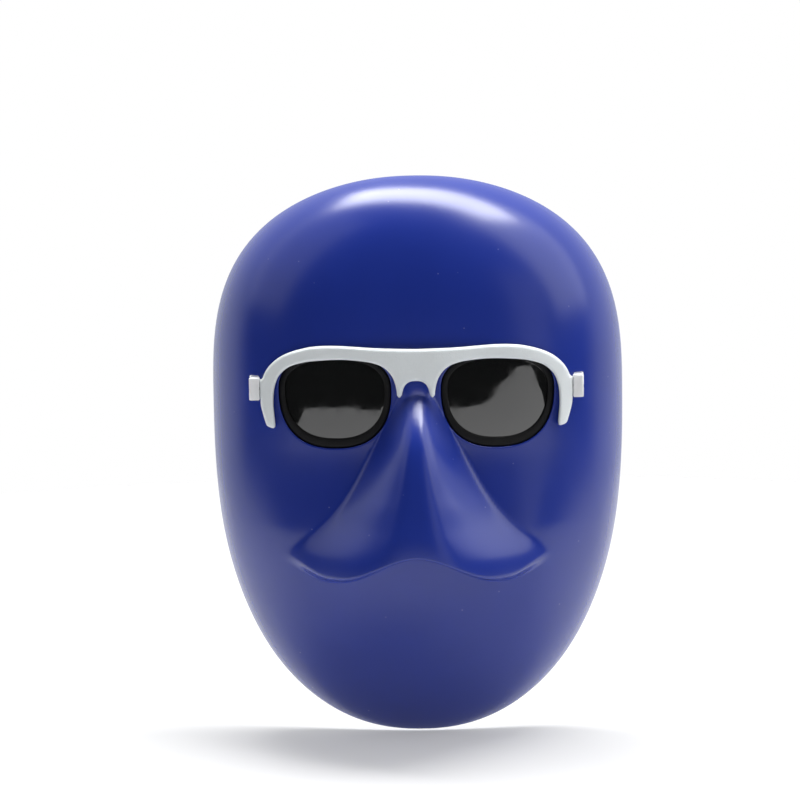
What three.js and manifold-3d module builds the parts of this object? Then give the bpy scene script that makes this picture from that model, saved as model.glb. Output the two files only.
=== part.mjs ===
// Welder's face mask with built-in spectacles. Millimetres, +Z up.
// The mask looks along -Y, so the wearer's left is +X. The origin is on the inner face of the
// shell, on the centre line, at the height of the spectacle bridge, where the wearer's nose
// carries the mask.
import * as THREE from "three";
import { mergeVertices } from "three/addons/utils/BufferGeometryUtils.js";
import Module from "manifold-3d";

const wasm = await Module();
wasm.setup();

// ---- driving dimensions ----
const GAP = 0.3; // clearance between touching pieces

// Shell outline: an egg whose upper and lower halves meet at the widest height.
const SHELL = {
  thickness: 2,
  halfWidth: 97.5,
  widestZ: -12,
  rise: 105.5, // widest height to the crown
  drop: 156, // widest height to the chin
  sideDepth: 95, // how far the sides, the crown and the chin would curl back in full
  crownDepth: 64,
  chinDepth: 26,
  curl: 0.985, // share of the full curl at the rim
};
// Facets across and up the shell, as [from, to, count] in shares of the half outline. They are
// closest along the lower edge of the nose.
const COLUMNS = [[-1, -0.86, 3], [-0.86, -0.54, 5], [-0.54, 0.54, 20], [0.54, 0.86, 5], [0.86, 1, 3]];
const ROWS = [[-1, -0.9, 3], [-0.9, -0.56, 6], [-0.56, -0.4, 7], [-0.4, 0, 10], [0, 0.8, 8], [0.8, 1, 4]];
// Each half's roundness, from the side of the outline to its tip.
const CROWN_SHAPE = { side: 2.75, tip: 2.25 };
const CHIN_SHAPE = { side: 2.45, tip: 2.35 };
const CURL_SHAPE = { side: 3, crown: 3, chin: 2.4 };
const CHIN_SLOPE = { startZ: -64, slope: 0.24, blend: 25 };
const CHEEK = { topZ: -28, rise: 58, lowZ: -155, fall: 75, height: 7, halfWidth: 84, fade: 36 };
const NOSE = {
  topZ: 1,
  soft: 3, // eases the ridge into the brow
  slope: 0.2, // of the straight part of the ridge
  bridge: 20, // further height gained at the bridge, over about bridgeLength
  bridgeLength: 19,
  blunt: 0.42, // roundness of the ridge
  length: 75,
  reach: 86, // lowest part of the ridge
  topHalfWidth: 5.2,
  spread: 36.3,
  wing: 20, // further half width of the wings
};

// Eye openings, as rounded D shapes about their widest height.
const EYE = { x: 36.8, z: -2, halfWidth: 25.7, up: 16, down: 26.5, shape: 2.4 };
const RIM = { side: 3, top: 2.3, bottom: 4.5, recess: 0.8, depth: 7, flange: 2 };
const RIM_FLANGE = { front: 2.9, back: 4.7 };
const LENS = { thickness: 2.6, front: 1.8, edge: 1.2 };

// Brow frame, end pieces and temples.
const FRAME = { thickness: 4.1, gap: 0.5, halfWidth: 86 };
const BRIDGE = { lift: 2.3, halfWidth: 34, blend: 26 }; // the frame's further gap over the nose
const BAR = { x: 74, thickness: 3.8, topZ: 3.2, bottomZ: -7 };
const SLIT_GAP = 0.5;
const HINGE = { x: 69.9, y: 32.15, radius: 1.8, pin: 0.75, leaf: 0.9, clear: 2.15 };
const KNUCKLES = [
  [-6.4, -3.7],
  [-3.35, -0.65],
  [-0.3, 2.4],
];
const ARM = { end: 118, deepTo: 44, flatFrom: 60, flatZ: -5, topEndZ: 0.6 };
const ARM_TOP = [[96, 0.9], [70, 1.9], [48, 2.9]];
const BORE_LENGTH = 50;
const WIRE = { radius: 0.8, z: -2.2, from: 78 };
const SLEEVE = { start: 123, radius: 2.5 };

// ---- materials ----
const paint = (color, roughness, metalness = 0) =>
  new THREE.MeshStandardMaterial({ color, roughness, metalness });
const BLUE = paint(0x1c2a78, 0.35);
const MILKY = paint(0xd2d8dc, 0.4);
const WHITE = paint(0xf2f3f5, 0.45);
const BLACK = paint(0x101012, 0.6);
const SMOKED = paint(0x2a2c2c, 0.08, 0.2);
const STEEL = paint(0xb9bcc0, 0.3, 0.9);
const SLEEVE_WHITE = paint(0xe4e6e8, 0.55);

// ---- helpers ----
const clamp = THREE.MathUtils.clamp;
const ease = (t) => THREE.MathUtils.smoothstep(t, 0, 1);
const mix = THREE.MathUtils.lerp;

// A closed geometry as a solid that can be joined and cut.
function solid(geometry) {
  geometry.deleteAttribute("normal");
  geometry.deleteAttribute("uv");
  const merged = mergeVertices(geometry, 1e-4);
  return new wasm.Manifold(
    new wasm.Mesh({
      numProp: 3,
      vertProperties: merged.attributes.position.array,
      triVerts: new Uint32Array(merged.index.array),
    }),
  );
}

function node(name, body, material) {
  const cut = body.getMesh();
  const geometry = new THREE.BufferGeometry();
  geometry.setAttribute("position", new THREE.BufferAttribute(cut.vertProperties, 3));
  geometry.setIndex(new THREE.BufferAttribute(cut.triVerts, 1));
  geometry.computeVertexNormals();
  const mesh = new THREE.Mesh(geometry, material);
  mesh.name = name;
  return mesh;
}

const extrude = (points, depth) =>
  new THREE.ExtrudeGeometry(new THREE.Shape(points), { depth, bevelEnabled: false });

// Prisms with a drawn outline: seen from the front (x, z), above (x, y) or the side (y, z).
const frontPrism = (points, from, to) =>
  solid(extrude(points, to - from).rotateX(Math.PI / 2).translate(0, to, 0));
const topPrism = (points, from, to) => solid(extrude(points, to - from).translate(0, 0, from));
const sidePrism = (points, from, to) =>
  solid(
    extrude(points, to - from)
      .rotateY(Math.PI / 2)
      .rotateX(Math.PI / 2)
      .translate(from, 0, 0),
  );
const box = (x0, x1, y0, y1, z0, z1) =>
  solid(
    new THREE.BoxGeometry(x1 - x0, y1 - y0, z1 - z0).translate(
      (x0 + x1) / 2,
      (y0 + y1) / 2,
      (z0 + z1) / 2,
    ),
  );
const post = (radius, x, y, z0, z1, sides = 12) =>
  solid(
    new THREE.CylinderGeometry(radius, radius, z1 - z0, sides)
      .rotateX(Math.PI / 2)
      .translate(x, y, (z0 + z1) / 2),
  );
const crossPin = (radius, x0, x1, y, z, sides = 10) =>
  solid(
    new THREE.CylinderGeometry(radius, radius, x1 - x0, sides)
      .rotateZ(Math.PI / 2)
      .translate((x0 + x1) / 2, y, z),
  );
const v2 = (x, y) => new THREE.Vector2(x, y);
const through = (points, steps) =>
  new THREE.SplineCurve(points.map(([x, y]) => v2(x, y))).getPoints(steps);

// ---- shell surface ----
const outlineShape = (upper, tipShare) => {
  const shape = upper ? CROWN_SHAPE : CHIN_SHAPE;
  return mix(shape.side, shape.tip, tipShare);
};

// Front of the face without the nose: 0 at the middle, growing towards the rim.
function faceDepth(x, z) {
  const upper = z >= SHELL.widestZ;
  const a = Math.abs(x) / SHELL.halfWidth;
  const b = Math.abs(z - SHELL.widestZ) / (upper ? SHELL.rise : SHELL.drop);
  const tipShare = (b * b) / Math.max(a * a + b * b, 1e-9);
  const n = outlineShape(upper, tipShare);
  const reach = clamp(SHELL.curl * (a ** n + b ** n) ** (1 / n), 0, 0.9999);
  const depth = mix(SHELL.sideDepth, upper ? SHELL.crownDepth : SHELL.chinDepth, tipShare);
  const m = mix(CURL_SHAPE.side, upper ? CURL_SHAPE.crown : CURL_SHAPE.chin, tipShare);
  const below = Math.max(CHIN_SLOPE.startZ - z, 0);
  return (
    depth * (1 - (1 - reach ** m) ** (1 / m)) +
    (CHIN_SLOPE.slope * below * below) / (below + CHIN_SLOPE.blend)
  );
}

// The cheeks stand a little forward of the eye openings.
const cheekHeight = (x, z) =>
  CHEEK.height *
  ease((CHEEK.topZ - z) / CHEEK.rise) *
  ease((z - CHEEK.lowZ) / CHEEK.fall) *
  ease((CHEEK.halfWidth - Math.abs(x)) / CHEEK.fade);

// Height of the nose's lower edge: arched in the middle, rising again at the wing tips.
const noseEdge = (side) => -79 - 11 * ease(side / 36) + 8 * ease((side - 40) / 24);

// The nose: how far it stands out, and how much of the face it covers. It is a rounded ridge
// with flat flanks that flare into two wings.
function noseRelief(x, z) {
  const side = Math.abs(x);
  const down = clamp(NOSE.topZ - z, 0, NOSE.reach);
  const flare = down / NOSE.length;
  const wing = flare ** 7 / Math.cbrt(1 + flare ** 21);
  const halfWidth = NOSE.topHalfWidth + NOSE.spread * flare + NOSE.wing * wing;
  const rounded = (t) => Math.cbrt(t ** 3 + NOSE.blunt ** 3);
  const share = (rounded(1) - rounded(Math.min(side / halfWidth, 1))) / (rounded(1) - NOSE.blunt);
  const across = Math.max(share, 0) ** (1 + 0.5 * ease((-z - 50) / 25));
  const cover = across * ease((z - noseEdge(side)) / 9);
  const run = Math.hypot(down, NOSE.soft) - NOSE.soft;
  const steep = run / NOSE.bridgeLength;
  const ridge = NOSE.slope * run + (NOSE.bridge * steep) / (1 + steep ** 4) ** 0.25;
  return { height: ridge * cover, cover };
}

function frontY(x, z) {
  const nose = noseRelief(x, z);
  return faceDepth(x, z) - nose.height - cheekHeight(x, z) * (1 - nose.cover) - SHELL.thickness;
}
// The spectacles follow the front of the shell at its widest height.
const seatY = (x) => faceDepth(x, SHELL.widestZ) - SHELL.thickness;

// A point of the shell: u and v run from -1 to 1 across and up the outline.
function shellPoint(u, v, inner) {
  const disc = v2(u * Math.sqrt(1 - (v * v) / 2), v * Math.sqrt(1 - (u * u) / 2));
  const [c, s] = disc.length() ? [disc.x / disc.length(), disc.y / disc.length()] : [1, 0];
  const n = outlineShape(s >= 0, s * s);
  const radius = disc.length() / (Math.abs(c) ** n + Math.abs(s) ** n) ** (1 / n);
  const x = SHELL.halfWidth * radius * c;
  let z = SHELL.widestZ + (s >= 0 ? SHELL.rise : SHELL.drop) * radius * s;
  // Rows near the nose's lower edge run along it.
  const near = Math.exp(-(((z + 83) / 20) ** 2)) * (1 - disc.length() ** 4);
  z += (noseEdge(Math.abs(x)) - noseEdge(0)) * near;
  const point = new THREE.Vector3(x, frontY(x, z), z);
  if (!inner) return point;
  const h = 0.5;
  const normal = new THREE.Vector3(
    frontY(x - h, z) - frontY(x + h, z),
    2 * h,
    frontY(x, z - h) - frontY(x, z + h),
  ).normalize();
  return point.addScaledVector(normal, SHELL.thickness);
}

const graded = (stops) => [
  ...stops.flatMap(([from, to, n]) => Array.from({ length: n }, (_, i) => mix(from, to, i / n))),
  stops.at(-1)[1],
];

function shellBlank() {
  const us = graded(COLUMNS);
  const vs = graded(ROWS);
  const [last, top] = [us.length - 1, vs.length - 1];
  const positions = [false, true].flatMap((inner) =>
    vs.flatMap((v) => us.flatMap((u) => shellPoint(u, v, inner).toArray())),
  );
  const at = (inner, row, column) => (inner * (top + 1) + row) * (last + 1) + column;
  const index = [];
  const quad = (a, b, c, d) => index.push(a, b, c, a, c, d);
  for (let row = 0; row < top; row++)
    for (let column = 0; column < last; column++) {
      const corners = [[row, column], [row, column + 1], [row + 1, column + 1], [row + 1, column]];
      // The two halves are cut into triangles as mirror images.
      if (2 * column >= last) corners.push(corners.shift());
      const [a, b, c, d] = corners;
      quad(at(0, ...a), at(0, ...b), at(0, ...c), at(0, ...d));
      quad(at(1, ...a), at(1, ...d), at(1, ...c), at(1, ...b));
    }
  // The rim closes the shell between its two faces.
  const rim = [
    ...us.map((_, i) => [0, i]),
    ...vs.slice(1).map((_, i) => [i + 1, last]),
    ...us.slice(1).map((_, i) => [top, last - 1 - i]),
    ...vs.slice(1).map((_, i) => [top - 1 - i, 0]),
  ];
  for (let i = 1; i < rim.length; i++)
    quad(at(0, ...rim[i]), at(0, ...rim[i - 1]), at(1, ...rim[i - 1]), at(1, ...rim[i]));
  const geometry = new THREE.BufferGeometry();
  geometry.setAttribute("position", new THREE.Float32BufferAttribute(positions, 3));
  geometry.setIndex(index);
  return solid(geometry);
}

// ---- eye openings, rims and lenses ----
// The left eye outline, moved in from the opening's edge by inset (out when negative).
function eyeOutline(side, top = side, bottom = side, count = 40) {
  const points = [];
  for (let i = 0; i < count; i++) {
    const angle = (2 * Math.PI * i) / count;
    const [c, s] = [Math.cos(angle), Math.sin(angle)];
    const radius = (Math.abs(c) ** EYE.shape + Math.abs(s) ** EYE.shape) ** (-1 / EYE.shape);
    const height = s >= 0 ? EYE.up - top : EYE.down - bottom;
    points.push(v2(EYE.x + (EYE.halfWidth - side) * radius * c, EYE.z + height * radius * s));
  }
  return points;
}
const eyePrism = (...insets) => frontPrism(eyeOutline(...insets), -20, 60);

// The space between two curves that follow the seat of the spectacles.
function band(front, back, x0, x1, steps) {
  const xs = Array.from({ length: steps + 1 }, (_, i) => mix(x0, x1, i / steps));
  const points = xs.map((x) => v2(x, seatY(x) + front(x)));
  xs.reverse().forEach((x) => points.push(v2(x, seatY(x) + back(x))));
  return topPrism(points, -60, 60);
}
const eyeBand = (front, back) => band(() => front, () => back, 6, 68, 12);

function rim() {
  const { side, top, bottom } = RIM;
  const sleeve = eyePrism(0.35).intersect(eyeBand(RIM.recess, RIM.depth));
  const flange = eyePrism(-RIM.flange).intersect(eyeBand(RIM_FLANGE.front, RIM_FLANGE.back));
  const groove = LENS.edge + GAP;
  return sleeve
    .add(flange)
    .subtract(eyePrism(side, top, bottom))
    .subtract(
      eyePrism(side - groove, top - groove, bottom - groove).intersect(
        eyeBand(LENS.front - GAP, LENS.front + LENS.thickness + GAP),
      ),
    );
}

function lens() {
  const { side, top, bottom } = RIM;
  return eyePrism(side - LENS.edge, top - LENS.edge, bottom - LENS.edge).intersect(
    eyeBand(LENS.front, LENS.front + LENS.thickness),
  );
}

// ---- brow frame ----
// One half of the frame's outline, from the crest of the bridge round the leg to the nose arch.
const CREST = [
  [0, 16.7], [18, 17.2], [36, 18.2], [46, 17.8], [52.4, 16.5], [57.4, 14.9], [62.4, 12.3],
  [66.9, 8.2], [69.4, 3.8], [70.6, -1.5], [70.8, -8.5], [69.7, -13.5], [68.7, -16.8],
];
const LEG_END = [[68.7, -16.8], [68.1, -18.3], [66.8, -19.1], [65.2, -19.5], [64.3, -19.1], [64.1, -17.8]];
const LENS_EDGE = [
  [64.1, -17.8], [64.8, -9], [64.4, -2.2], [60.4, 6.2], [52.8, 10.2], [46.5, 11.4], [34, 12.1],
  [23, 11.3], [17.2, 10], [11.8, 6.3], [9.2, 1], [8.5, -3.8],
];
const PRONG = [[8.5, -3.8], [7.4, -4.9], [6.3, -3.8]];
const ARCH = [[6.3, -3.8], [4.4, 1.1], [0, 2.6]];

function frameOutline() {
  const half = [
    ...through(CREST, 32),
    ...through(LEG_END, 6).slice(1),
    ...through(LENS_EDGE, 34).slice(1),
    ...through(PRONG, 4).slice(1),
    ...through(ARCH, 5).slice(1),
  ];
  const other = half.slice(1, -1).map((p) => v2(-p.x, p.y));
  return [...half, ...other.reverse()];
}

function browFrame() {
  const lift = (x) => BRIDGE.lift * ease((BRIDGE.halfWidth - Math.abs(x)) / BRIDGE.blend);
  const back = (x) => -FRAME.gap - lift(x);
  const front = (x) => back(x) - FRAME.thickness;
  const wrap = band(front, back, -FRAME.halfWidth, FRAME.halfWidth, 40);
  const clearOfShell = band(() => -40, back, -FRAME.halfWidth, FRAME.halfWidth, 40);
  let frame = frontPrism(frameOutline(), -20, 60).intersect(wrap);
  for (const side of [-1, 1]) {
    const [x0, x1] = [side * BOSS_FROM, side * (LUG.in - GAP)].sort((a, b) => a - b);
    const boss = box(x0, x1, END_FRONT, 40, BAR.bottomZ + 0.8, BAR.topZ - 0.8);
    const [pin0, pin1] = [side * (SCREW.from - 0.4), side * OUT].sort((a, b) => a - b);
    frame = frame
      .add(boss.intersect(clearOfShell))
      .subtract(crossPin(SCREW.hole, pin0, pin1, SCREW.y, SCREW.z));
  }
  return frame;
}

// ---- end pieces, hinges and temples, drawn for the wearer's left ----
const IN = BAR.x - BAR.thickness / 2;
const OUT = BAR.x + BAR.thickness / 2;
const BOSS_FROM = 69.5;
// The end piece is broad in front of the shell and narrows to pass through its slit.
const LUG = { in: 71.3, back: 11 };
const SCREW = { from: 70.4, y: 8.9, z: -1.9, radius: 0.7, hole: 1, head: 1.3, headLength: 0.8, sunk: 1.2 };
const RIVET = { radius: 0.5, hole: 0.8, head: 1, headLength: 0.5, length: 2.6 };
const RIVET_ZS = [-4.4, 0.4];
const FRONT_RIVET_Y = 27.6;
const REAR_RIVET_Y = 37.4;
const END_FRONT = 6.8;
const END_BACK = HINGE.y - GAP / 2;
const ARM_FRONT = HINGE.y + GAP / 2;
const LEAF_X = [IN - GAP - HINGE.leaf, IN - GAP];
const [LEAF_FRONT, LEAF_BACK] = [24.6, 40.4];

const rivetHole = (y, z) => crossPin(RIVET.hole, IN - 5, IN + RIVET.length + GAP, y, z);
const rivetHoles = (y) => rivetHole(y, RIVET_ZS[0]).add(rivetHole(y, RIVET_ZS[1]));

function endPiece() {
  return box(IN, OUT, END_FRONT, END_BACK, BAR.bottomZ, BAR.topZ)
    .add(box(LUG.in, IN + 1, END_FRONT, LUG.back, BAR.bottomZ, BAR.topZ))
    .subtract(crossPin(SCREW.hole, LUG.in - 1, OUT + 1, SCREW.y, SCREW.z))
    .subtract(crossPin(SCREW.head + GAP, OUT - SCREW.sunk, OUT + 1, SCREW.y, SCREW.z, 12))
    .subtract(rivetHoles(FRONT_RIVET_Y));
}

function endScrew() {
  const seat = OUT - SCREW.sunk + GAP;
  const shank = crossPin(SCREW.radius, SCREW.from, seat + 0.2, SCREW.y, SCREW.z);
  const head = crossPin(SCREW.head, seat, seat + SCREW.headLength, SCREW.y, SCREW.z, 12);
  const slot = box(seat + 0.4, OUT + 1, SCREW.y - 3, SCREW.y + 3, SCREW.z - 0.25, SCREW.z + 0.25);
  return shank.add(head).subtract(slot);
}

const knuckle = ([z0, z1]) => post(HINGE.radius, HINGE.x, HINGE.y, z0, z1);
const room = ([z0, z1]) => post(HINGE.clear, HINGE.x, HINGE.y, z0 - GAP, z1 + GAP);
const pinHole = () => post(HINGE.pin + GAP, HINGE.x, HINGE.y, -20, 20, 10);

// The front leaf carries the outer knuckles and the rear leaf the middle one.
function frontLeaf() {
  const plate = box(...LEAF_X, LEAF_FRONT, HINGE.y, KNUCKLES[0][0], KNUCKLES[2][1]);
  return plate
    .add(knuckle(KNUCKLES[0]))
    .add(knuckle(KNUCKLES[2]))
    .subtract(room(KNUCKLES[1]))
    .subtract(
      box(HINGE.x, IN, HINGE.y - GAP / 2, HINGE.y + 5, KNUCKLES[1][0] - GAP, KNUCKLES[1][1] + GAP),
    )
    .subtract(pinHole())
    .subtract(rivetHoles(FRONT_RIVET_Y));
}

function rearLeaf() {
  const plate = box(...LEAF_X, HINGE.y + 2.6, LEAF_BACK, KNUCKLES[0][0], KNUCKLES[2][1]);
  const neck = box(...LEAF_X, HINGE.y, LEAF_BACK, ...KNUCKLES[1]);
  return plate
    .add(neck)
    .add(knuckle(KNUCKLES[1]))
    .subtract(room(KNUCKLES[0]))
    .subtract(room(KNUCKLES[2]))
    .subtract(pinHole())
    .subtract(rivetHoles(REAR_RIVET_Y));
}

function hingeScrew() {
  const [low, top] = [KNUCKLES[0][0], KNUCKLES[2][1] + GAP];
  return post(HINGE.pin, HINGE.x, HINGE.y, low, top + 0.2, 10)
    .add(post(1.5, HINGE.x, HINGE.y, top, top + 0.8))
    .subtract(box(HINGE.x - 3, HINGE.x + 3, HINGE.y - 0.2, HINGE.y + 0.2, top + 0.4, top + 2));
}

function rivet(y, z) {
  const face = LEAF_X[0] - GAP;
  return crossPin(RIVET.radius, face - 0.2, IN + RIVET.length, y, z, 8).add(
    crossPin(RIVET.head, face - RIVET.headLength, face, y, z),
  );
}

function templeArm() {
  const profile = [
    v2(ARM_FRONT, BAR.bottomZ),
    v2(ARM.deepTo, BAR.bottomZ),
    ...through([[ARM.deepTo, BAR.bottomZ], [50, -6.6], [55, -5.4], [ARM.flatFrom, ARM.flatZ]], 6).slice(1),
    v2(ARM.end, ARM.flatZ),
    v2(ARM.end, ARM.topEndZ),
    ...through([[ARM.end, ARM.topEndZ], ...ARM_TOP, [ARM_FRONT + 5, BAR.topZ]], 8).slice(1),
    v2(ARM_FRONT, BAR.topZ),
  ];
  const bore = solid(
    new THREE.CylinderGeometry(WIRE.radius + GAP, WIRE.radius + GAP, BORE_LENGTH, 12),
  ).translate([BAR.x, WIRE.from + BORE_LENGTH / 2 - GAP, WIRE.z]);
  return sidePrism(profile, IN, OUT).subtract(rivetHoles(REAR_RIVET_Y)).subtract(bore);
}

// The ear hook: straight out of the arm, then bent down behind the ear.
const hookPath = (from) =>
  new THREE.CatmullRomCurve3(
    [
      [from, WIRE.z],
      [ARM.end - 8, WIRE.z],
      [ARM.end, WIRE.z],
      [SLEEVE.start, WIRE.z],
      [131, -4],
      [139.5, -11.5],
      [144.5, -24],
      [147, -37],
      [147.6, -44],
    ].map(([y, z]) => new THREE.Vector3(BAR.x, y, z)),
    false,
    "centripetal",
  );

// A tube of circular section along part of the hook path.
function hookTube(radius, sides, from, to, steps) {
  const points = hookPath(WIRE.from).getSpacedPoints(120);
  const part = points.filter((p) => p.y >= from && p.z >= to);
  const section = new THREE.Shape(
    Array.from({ length: sides }, (_, i) => {
      const angle = (2 * Math.PI * i) / sides;
      return v2(radius * Math.cos(angle), radius * Math.sin(angle));
    }),
  );
  return solid(
    new THREE.ExtrudeGeometry(section, {
      steps,
      extrudePath: new THREE.CatmullRomCurve3(part, false, "centripetal"),
      bevelEnabled: false,
    }),
  );
}
const coreWire = () => hookTube(WIRE.radius, 8, 0, -24, 20);
const earSleeve = () =>
  hookTube(SLEEVE.radius, 10, SLEEVE.start, -60, 14).subtract(
    hookTube(WIRE.radius + GAP, 8, SLEEVE.start - 4, -25, 10),
  );

// ---- assembly ----
function maskShell() {
  let shell = shellBlank();
  for (const turn of [1, -1]) {
    const [x0, x1] = [turn * (IN - SLIT_GAP), turn * (OUT + SLIT_GAP)].sort((a, b) => a - b);
    const slit = box(x0, x1, 0, 60, BAR.bottomZ - SLIT_GAP, BAR.topZ + SLIT_GAP);
    const eye = frontPrism(eyeOutline(0).map((p) => v2(turn * p.x, p.y)), -20, 40);
    shell = shell.subtract(slit).subtract(eye);
  }
  return shell;
}

// Everything that comes in a pair. The wearer's right is the mirror of the left.
function pair(side) {
  const group = new THREE.Group();
  group.add(
    node(`${side}_lens_rim`, rim(), BLACK),
    node(`${side}_lens`, lens(), SMOKED),
    node(`${side}_end_piece`, endPiece(), WHITE),
    node(`${side}_end_piece_screw`, endScrew(), STEEL),
    node(`${side}_hinge_front_leaf`, frontLeaf(), STEEL),
    node(`${side}_hinge_rear_leaf`, rearLeaf(), STEEL),
    node(`${side}_hinge_screw`, hingeScrew(), STEEL),
    node(`${side}_temple_arm`, templeArm(), WHITE),
    node(`${side}_temple_core_wire`, coreWire(), STEEL),
    node(`${side}_ear_sleeve`, earSleeve(), SLEEVE_WHITE),
  );
  RIVET_ZS.forEach((z, i) => {
    group.add(
      node(`${side}_front_leaf_rivet_${i + 1}`, rivet(FRONT_RIVET_Y, z), STEEL),
      node(`${side}_rear_leaf_rivet_${i + 1}`, rivet(REAR_RIVET_Y, z), STEEL),
    );
  });
  group.scale.x = side === "left" ? 1 : -1;
  return group;
}

const mask = new THREE.Group();
mask.add(
  node("mask_shell", maskShell(), BLUE),
  node("brow_frame", browFrame(), MILKY),
  pair("left"),
  pair("right"),
);

export default mask;
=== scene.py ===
"""A moulded plastic welder's face mask with dark spectacles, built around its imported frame."""

import itertools
import math

import bmesh
import bpy
import numpy as np
from bpy.props import FloatProperty, FloatVectorProperty, PointerProperty
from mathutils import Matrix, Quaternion, Vector
from mathutils.geometry import delaunay_2d_cdt


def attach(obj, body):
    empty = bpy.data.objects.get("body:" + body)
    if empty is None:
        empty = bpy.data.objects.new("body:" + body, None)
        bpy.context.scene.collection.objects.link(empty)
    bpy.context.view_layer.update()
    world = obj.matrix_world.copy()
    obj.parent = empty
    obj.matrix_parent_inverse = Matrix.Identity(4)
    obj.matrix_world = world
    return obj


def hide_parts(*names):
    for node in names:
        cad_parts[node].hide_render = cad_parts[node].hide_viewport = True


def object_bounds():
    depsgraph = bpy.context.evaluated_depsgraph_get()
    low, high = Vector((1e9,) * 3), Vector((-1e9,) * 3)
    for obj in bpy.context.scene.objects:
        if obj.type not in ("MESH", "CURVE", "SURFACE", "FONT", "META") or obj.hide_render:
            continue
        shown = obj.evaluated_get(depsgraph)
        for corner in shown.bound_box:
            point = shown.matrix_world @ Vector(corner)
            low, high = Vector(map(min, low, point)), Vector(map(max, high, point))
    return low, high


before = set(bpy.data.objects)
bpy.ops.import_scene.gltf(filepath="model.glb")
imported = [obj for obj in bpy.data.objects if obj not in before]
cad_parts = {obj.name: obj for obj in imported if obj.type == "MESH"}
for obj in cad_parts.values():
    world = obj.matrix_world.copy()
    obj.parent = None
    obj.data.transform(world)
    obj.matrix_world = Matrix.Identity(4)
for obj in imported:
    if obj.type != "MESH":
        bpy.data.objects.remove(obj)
CAD_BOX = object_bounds()

bl_info = {
    "name": "Spectacle Face Mask",
    "version": (1, 0, 0),
    "blender": (4, 5, 0),
    "location": "View3D > Sidebar > Face Mask",
    "description": "Builds a welder's face mask with folding spectacle temples",
    "category": "Add Mesh",
}

MM = 0.001
SIDES = {"left": 1, "right": -1}  # the wearer's sides: left is +X

# ---- the face, in millimetres: X to the wearer's left, Y back into the mask, Z up ----
HALF_WIDTH = 97.5
WIDEST_Z = -12.0
RISE, DROP = 105.5, 156.0  # widest height to the crown, and to the chin
CURL = 0.985  # share of the full curl that the rim reaches
SIDE_DEPTH, CROWN_DEPTH, CHIN_DEPTH = 95.0, 64.0, 26.0  # a full curl at the sides, crown and chin
WALL = 2.0
CHIN_START_Z, CHIN_SLOPE, CHIN_BLEND = -64.0, 0.24, 25.0
NOSE = {
    "top_z": 1.0,
    "reach": 86.0,  # how far below its top it can go
    "length": 75.0,  # run over which its half width gains spread
    "top_half_width": 5.2,
    "spread": 36.3,
    "wing": 20.0,  # further half width of the wings
    "blunt": 0.42,  # roundness of the ridge, as a share of the half width
    "soft": 3.0,  # eases the ridge into the brow
    "slope": 0.2,  # of the straight part of the ridge
    "bridge": 20.0,  # further height gained at the bridge
    "bridge_run": 20.0,
    "edge": 5.5,  # height over which the lower edge falls back to the face
}
CHEEK = {"height": 7.0, "top_z": -28.0, "rise": 58.0, "low_z": -155.0, "fall": 75.0}
CHEEK_HALF_WIDTH, CHEEK_FADE = 84.0, 36.0


def smooth(t):
    t = np.clip(t, 0, 1)
    return t * t * (3 - 2 * t)


def mix(a, b, t):
    return a + (b - a) * t


def outline_power(upper, tip):
    """Roundness of the outline, from its side (tip 0) to the crown or chin (tip 1)."""
    return np.where(upper, mix(2.75, 2.25, tip), mix(2.45, 2.35, tip))


def face_depth(x, z):
    """How far the mask has curled back, without its nose."""
    upper = z >= WIDEST_Z
    a = np.abs(x) / HALF_WIDTH
    b = np.abs(z - WIDEST_Z) / np.where(upper, RISE, DROP)
    tip = b * b / np.maximum(a * a + b * b, 1e-9)
    n = outline_power(upper, tip)
    reach = np.clip(CURL * (a**n + b**n) ** (1 / n), 0, 0.9999)
    depth = mix(SIDE_DEPTH, np.where(upper, CROWN_DEPTH, CHIN_DEPTH), tip)
    power = mix(3.0, np.where(upper, 3.0, 2.4), tip)
    curled = depth * (1 - (1 - reach**power) ** (1 / power))
    below = np.maximum(CHIN_START_Z - z, 0)
    return curled + CHIN_SLOPE * below**2 / (below + CHIN_BLEND)


def nose_edge(x):
    """Height of the nose's lower edge, which is arched between its two wings."""
    side = np.abs(x)
    return -78.5 - 11.5 * smooth(side / 36) + 8.5 * smooth((side - 40) / 24)


def nose_relief(x, z):
    """How far the nose stands out, and the share of the face that it covers."""
    down = np.clip(NOSE["top_z"] - z, 0, NOSE["reach"])
    flare = down / NOSE["length"]
    wing = flare**7 / (1 + flare**21) ** (1 / 3)
    half_width = NOSE["top_half_width"] + NOSE["spread"] * flare + NOSE["wing"] * wing
    # Across the nose the ridge is rounded and the flanks are flat.
    blunt = NOSE["blunt"] ** 3
    full = (1 + blunt) ** (1 / 3)
    aside = np.clip(np.abs(x) / half_width, 0, 1)
    share = (full - (aside**3 + blunt) ** (1 / 3)) / (full - NOSE["blunt"])
    across = np.maximum(share, 0) ** (1 + 0.5 * smooth((-z - 50) / 25))
    cover = across * smooth((z - nose_edge(x)) / NOSE["edge"])
    # Down the nose the ridge is steep at the bridge and then straight.
    run = np.hypot(down, NOSE["soft"]) - NOSE["soft"]
    steep = run / NOSE["bridge_run"]
    ridge = NOSE["slope"] * run + NOSE["bridge"] * steep / (1 + steep**4) ** 0.25
    return ridge * cover, cover


def cheek_height(x, z):
    """The cheeks swell forward below the eyes and fall back to the chin."""
    rise = smooth((CHEEK["top_z"] - z) / CHEEK["rise"])
    fall = smooth((z - CHEEK["low_z"]) / CHEEK["fall"])
    return CHEEK["height"] * rise * fall * smooth((CHEEK_HALF_WIDTH - np.abs(x)) / CHEEK_FADE)


def front_y(x, z):
    nose, cover = nose_relief(x, z)
    return face_depth(x, z) - nose - cheek_height(x, z) * (1 - cover) - WALL


def seat_y(x):
    """Front of the shell at its widest height, which the spectacles follow."""
    return face_depth(x, np.full_like(x, WIDEST_Z)) - WALL


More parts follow.
